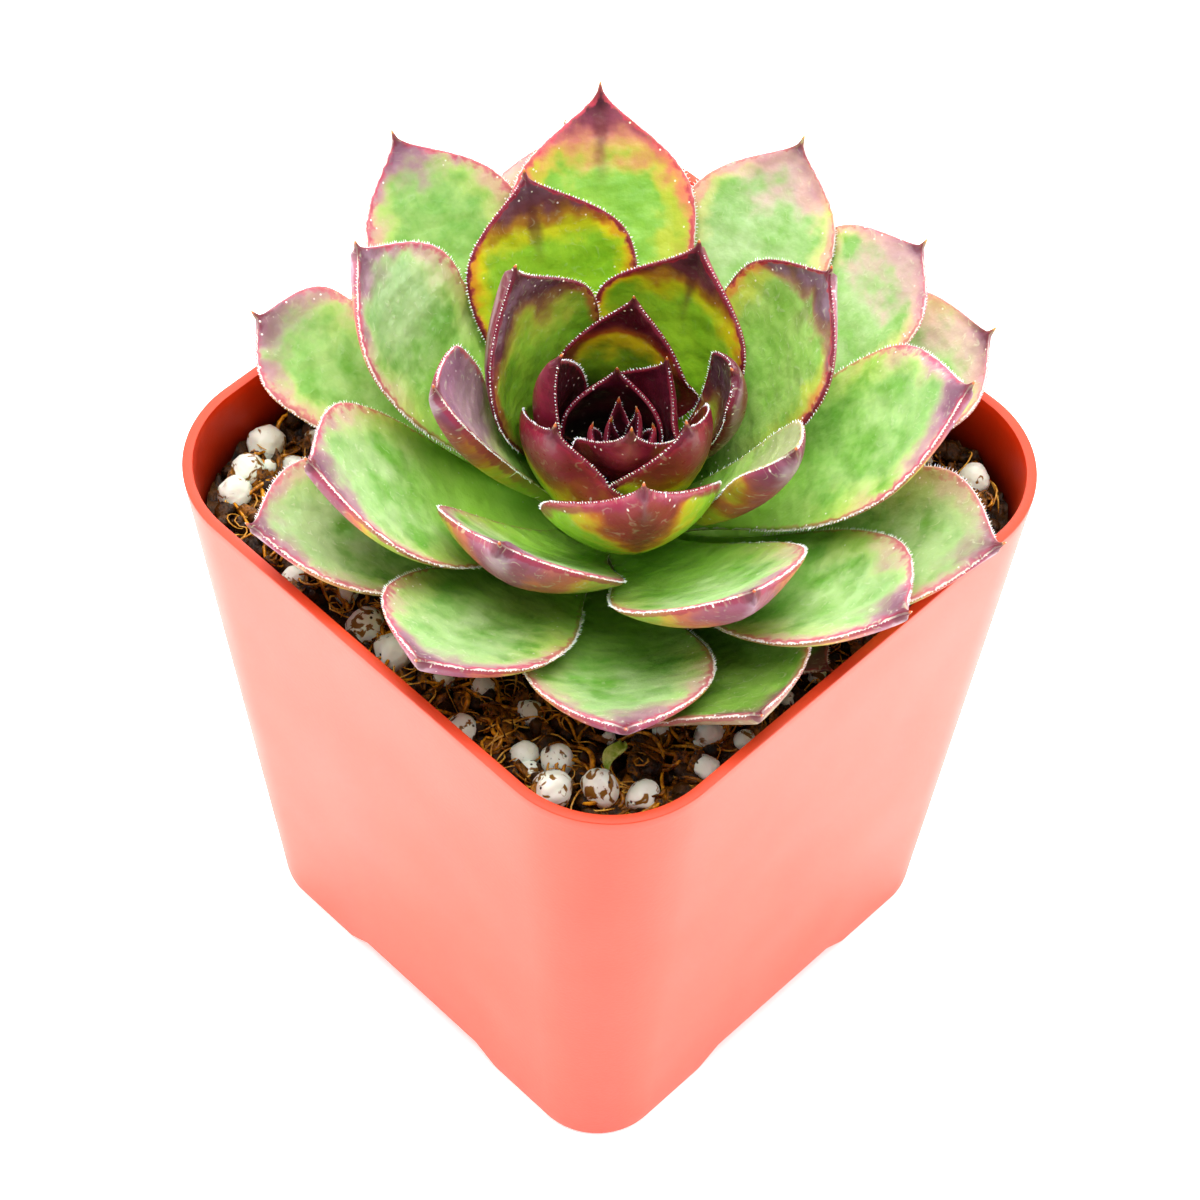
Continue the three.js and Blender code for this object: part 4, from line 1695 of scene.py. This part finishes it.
    def chips(self, count: int, seed: int, sizes: tuple[float, float], material: Material) -> Piece:
        """Models chips of bark: thin, bent and lying at odd angles.

        Args:
            count: How many.
            seed: For the random numbers.
            sizes: The least and the greatest half length.
            material: What they are made of.

        Returns:
            The chips.
        """
        grid = add_grid("chip", 3, 4)
        apply_modifier(grid, "SOLIDIFY", thickness=0.22, offset=0.0)
        stamp = Stamp.taken_from(grid)
        across, along = stamp.points[:, 0], stamp.points[:, 1]
        rng = np.random.default_rng(seed)
        placed = []
        for x, y in self.spots(count, seed, 1.5):
            size = rng.uniform(*sizes)
            shape = stamp.points * [0.45 * size * rng.uniform(0.6, 1.2), size, 0.6]
            shape[:, 0] *= 1 - 0.5 * np.abs(along) ** rng.uniform(1, 3)
            shape[:, 2] += rng.uniform(-0.5, 0.5) * along**2 * size * 0.5
            shape[:, 2] += rng.uniform(-0.4, 0.4) * across**2
            tilt = Matrix.Rotation(rng.uniform(0, TURN), 3, "Z") @ Matrix.Rotation(rng.normal(0, 0.5), 3, "X")
            tilt = tilt @ Matrix.Rotation(rng.normal(0, 0.6), 3, "Y")
            placed.append(shape @ np.array(tilt).T + [x, y, self.height(x, y) + rng.uniform(0.1, 0.8)])
        return stamp.copies("chips", placed, material)

    def fibres(
        self, count: int, seed: int, radius: float, lengths: tuple[float, float], material: Material
    ) -> Piece:
        """Models curled coir: thin tubes that loop over the crumbs.

        Args:
            count: How many.
            seed: For the random numbers.
            radius: Their radius before it varies.
            lengths: The least and the greatest length.
            material: What they are made of.

        Returns:
            The fibres.
        """
        tube = add_shape("fibre", bpy.ops.mesh.primitive_cylinder_add, vertices=4, radius=1, depth=2)
        bpy.ops.object.mode_set(mode="EDIT")
        for share in np.linspace(-0.8, 0.8, 9):
            bpy.ops.mesh.select_all(action="SELECT")
            bpy.ops.mesh.bisect(plane_co=(0, 0, share), plane_no=(0, 0, 1))
        bpy.ops.object.mode_set(mode="OBJECT")
        stamp = Stamp.taken_from(tube)
        across, over, end = (stamp.points[:, i : i + 1] for i in range(3))
        rng = np.random.default_rng(seed)
        placed = []
        for x, y in self.spots(count, seed, 2.2):
            path = self.path(np.array([x, y]), rng.uniform(*lengths), self.fibre_half - radius, rng)
            along = np.gradient(path, axis=0)
            along /= np.linalg.norm(along, axis=1)[:, None] + 1e-9
            side = np.cross(along, [0.1, 0.05, 1.0])
            side /= np.linalg.norm(side, axis=1)[:, None] + 1e-9
            top = np.cross(side, along)
            at = (stamp.points[:, 2] + 1) / 2 * (self.fibre_steps - 1)
            i = np.clip(at.astype(int), 0, self.fibre_steps - 2)
            thick = radius * rng.uniform(0.6, 1.2) * (1 - 0.5 * np.abs(end) ** 3)
            middle = mix(path[i], path[i + 1], (at - i)[:, None])
            placed.append(middle + side[i] * across * thick + top[i] * over * thick * 0.7)
        return stamp.copies("fibres", placed, material)

    def path(self, here: Array, length: float, limit: float, rng: np.random.Generator) -> Array:
        """Finds the way of one fibre over the soil, kept inside the pot's wall.

        Args:
            here: Where it starts.
            length: How long it is.
            limit: How far from the middle it may go, both ways.
            rng: Gives its random numbers.

        Returns:
            One point for each step.
        """
        steps = self.fibre_steps
        heading, bend, change = rng.uniform(0, TURN), rng.normal(0, 0.9), rng.normal(0, 0.12)
        arch, tilt = rng.uniform(0.2, 1.0), rng.uniform(-0.12, 0.12)
        path = np.zeros((steps, 3))
        for i in range(steps):
            heading += (bend + change * (i - steps / 2) * 0.3) * length / steps
            here = here + np.array([math.cos(heading), math.sin(heading)]) * length / steps
            here = np.clip(here, -limit, limit)
            corner = np.array(past_corner(*here, limit, self.fibre_corner))
            over = np.hypot(*corner)
            if over > self.fibre_corner:
                here = np.sign(here) * (np.abs(here) - corner + corner / over * self.fibre_corner)
            lift = 0.35 + arch * math.sin(math.pi * i / steps) + tilt * (i - steps / 2) * 0.2
            path[i] = [*here, self.height(*here) + lift]
        return path

    def grains(self, material: Material) -> Piece:
        """Models the perlite: the big grains in their places and small ones among them.

        Args:
            material: What they are made of.

        Returns:
            The grains, with how soiled each of them is.
        """
        ball = add_shape("grain", bpy.ops.mesh.primitive_ico_sphere_add, subdivisions=4, radius=1)
        stamp = Stamp.taken_from(ball)
        rng = np.random.default_rng(31)
        rows = [(*row, rng.choice([0.0, 0.2, 0.5])) for row in self.perlite]
        for x, y in self.spots(26, 32, 2.0, 14):
            rows.append((x, y, rng.uniform(0.45, 0.9), 0.4, rng.uniform(0.3, 0.8)))
        placed, soiled = [], []
        for number, (x, y, radius, rise, dirt) in enumerate(rows):
            lumps = np.array([
                1 + 0.16 * noise.noise(Vector(p) * 1.1 + Vector((number * 3.7, 0, 0)))
                + 0.05 * noise.noise(Vector(p) * 3.3 + Vector((0, number * 5.1, 0)))
                for p in stamp.points
            ])
            squash = rng.uniform(0.88, 1.08, 3)
            placed.append(stamp.points * lumps[:, None] * squash * radius + [x, y, self.height(x, y) + rise])
            soiled.append(np.full(len(stamp.points), dirt))
        piece = stamp.copies("perlite_grains", placed, material)
        store(piece, "soiled", np.concatenate(soiled))
        return piece

    def scrap(self, material: Material) -> Piece:
        """Models a torn bit of green leaf that has dropped on the mix.

        Args:
            material: What it is made of.

        Returns:
            The scrap.
        """
        piece = add_grid("leaf_scrap", 8, 12)
        apply_modifier(piece, "SOLIDIFY", thickness=0.2, offset=0.0)
        across, along, up = points_of(piece).T
        x = across * 0.65 * (1 - 0.7 * np.abs(along) ** 1.5) + 0.3 * np.sin(3 * along)
        z = up * 0.8 + 0.5 * np.sin(2.2 * along + 1) + 0.35 * across**2
        shape = np.stack([x, along * 1.4, z], 1) @ np.array(Matrix.Rotation(math.radians(20), 3, "Z")).T
        place_points(piece, shape + [*self.scrap_place, float(self.height(*self.scrap_place)) + 1.5])
        piece.data.materials.append(material)
        shade_smooth(piece)
        return piece


# ---------------------------------------------------------------- studio


@dataclass(frozen=True)
class Softbox:
    """A big soft white light that looks at the plant."""

    name: str
    place: tuple[float, float, float]
    size: tuple[float, float]
    watts: float
    aim: tuple[float, float, float] = (0, 0, 0.05)

    def build(self) -> None:
        """Hangs the light."""
        data = bpy.data.lights.new(self.name, "AREA")
        data.shape = "RECTANGLE"
        data.size, data.size_y = self.size
        data.energy = self.watts
        lamp = bpy.data.objects.new(self.name, data)
        lamp.location = self.place
        lamp.rotation_euler = (Vector(self.place) - Vector(self.aim)).to_track_quat("Z", "Y").to_euler()
        bpy.context.scene.collection.objects.link(lamp)


@dataclass
class Studio:
    """A white table, soft light from both sides and the camera."""

    lens: float = 105.1
    sensor: float = 36
    camera_place: tuple[float, float, float] = (125.617, -131.895, 293.826)
    camera_right: tuple[float, float, float] = (0.704933, 0.709051, 0.017782)
    camera_up: tuple[float, float, float] = (-0.581398, 0.563298, 0.587087)
    camera_back: tuple[float, float, float] = (0.406258, -0.424196, 0.809328)
    sky: float = 0.4
    # White-painted board is matt and evenly bright; its light of its own keeps it pale under the lamps.
    board: Grained = Grained(
        "white_painted_board", "FBFBFA", "FFFFFF", (250 / 3, 250 / 3, 250 / 3), 0.8,
        surface={"Emission Color": (1, 1, 1, 1), "Emission Strength": 0.4},
    )
    lights: tuple[Softbox, ...] = (
        Softbox("left_softbox", (-0.45, -0.45, 0.14), (0.55, 0.28), 3.8),
        Softbox("right_softbox", (0.45, 0.45, 0.14), (0.55, 0.28), 3.8),
        Softbox("front_fill", (0.5, -0.5, 0.16), (0.5, 0.28), 0.25),
        Softbox("back_softbox", (-0.4, 0.4, 0.36), (0.5, 0.3), 4.3),
        Softbox("top_softbox", (-0.04, 0.04, 0.6), (0.5, 0.5), 5.3),
    )

    def build(self) -> None:
        """Sets up a table that is large enough for every view, the lights, the sky and the camera."""
        table = add_shape("table_top", bpy.ops.mesh.primitive_plane_add, size=6)
        table.data.materials.append(self.board.build())
        for light in self.lights:
            light.build()
        world = bpy.data.worlds.new("studio_air")
        bpy.context.scene.world = world
        world.use_nodes = True
        world.node_tree.nodes["Background"].inputs[0].default_value = (1, 1, 1, 1)
        world.node_tree.nodes["Background"].inputs[1].default_value = self.sky
        bpy.context.scene.view_settings.view_transform = "Standard"
        self.camera()

    def camera(self) -> None:
        """Places the camera."""
        data = bpy.data.cameras.new("camera")
        data.lens, data.sensor_width = self.lens, self.sensor
        data.clip_start, data.clip_end = 0.01, 20
        camera = bpy.data.objects.new("camera", data)
        turn = Matrix((self.camera_right, self.camera_up, self.camera_back)).transposed()
        camera.matrix_world = Matrix.Translation(Vector(self.camera_place) * MM) @ turn.to_4x4()
        bpy.context.scene.collection.objects.link(camera)
        bpy.context.scene.camera = camera


def main() -> None:
    """Builds the studio, the pot, its mix and the plant."""
    logging.basicConfig(level=logging.INFO, format="%(message)s", stream=sys.stdout)
    Studio().build()
    Pot().build(
        PotFinish(),
        # The inner wall is painted a darker red as shade, darkest down at the mix.
        PotFinish("inner_wall_painted_shade", "E03C14", "CC2E08", 0.4, 1.22, "280602"),
        # The rim's top is painted a darker red as shade.
        PotFinish("rim_painted_shade", "CC3C16", "C43610", 0.45, 1.4),
    )
    PottingMix().build(
        # Painted shade makes the peat near black in its hollows.
        Damp("damp_peat", "030100", "4E2E08", (1.1, 1.1, 1.1), 0.3, relief=(0.8, 0.6)).build(),
        Damp("coir_fibre", "6A3604", "F0A420", (1, 1, 1), 0.22).build(),
        Damp("straw_fibre", "A46410", "F0BC50", (1, 1, 1), 0.25).build(),
        Damp("pine_bark", "1A0C02", "9C6014", (0.7, 0.7, 0.7), 0.2, relief=(0.8, 0.4)).build(),
        PerliteFinish().build(),
        Damp("torn_leaf", "94BC2C", "E2F08C", (0.9, 0.9, 0.9), 0.4).build(),
    )
    Rosette(HAIR.build()).build({skin: skin.value.build() for skin in Skin})
    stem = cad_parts["stem"]
    stem.data.materials.clear()
    stem.data.materials.append(STEM.build())


if __name__ == "__main__":
    main()
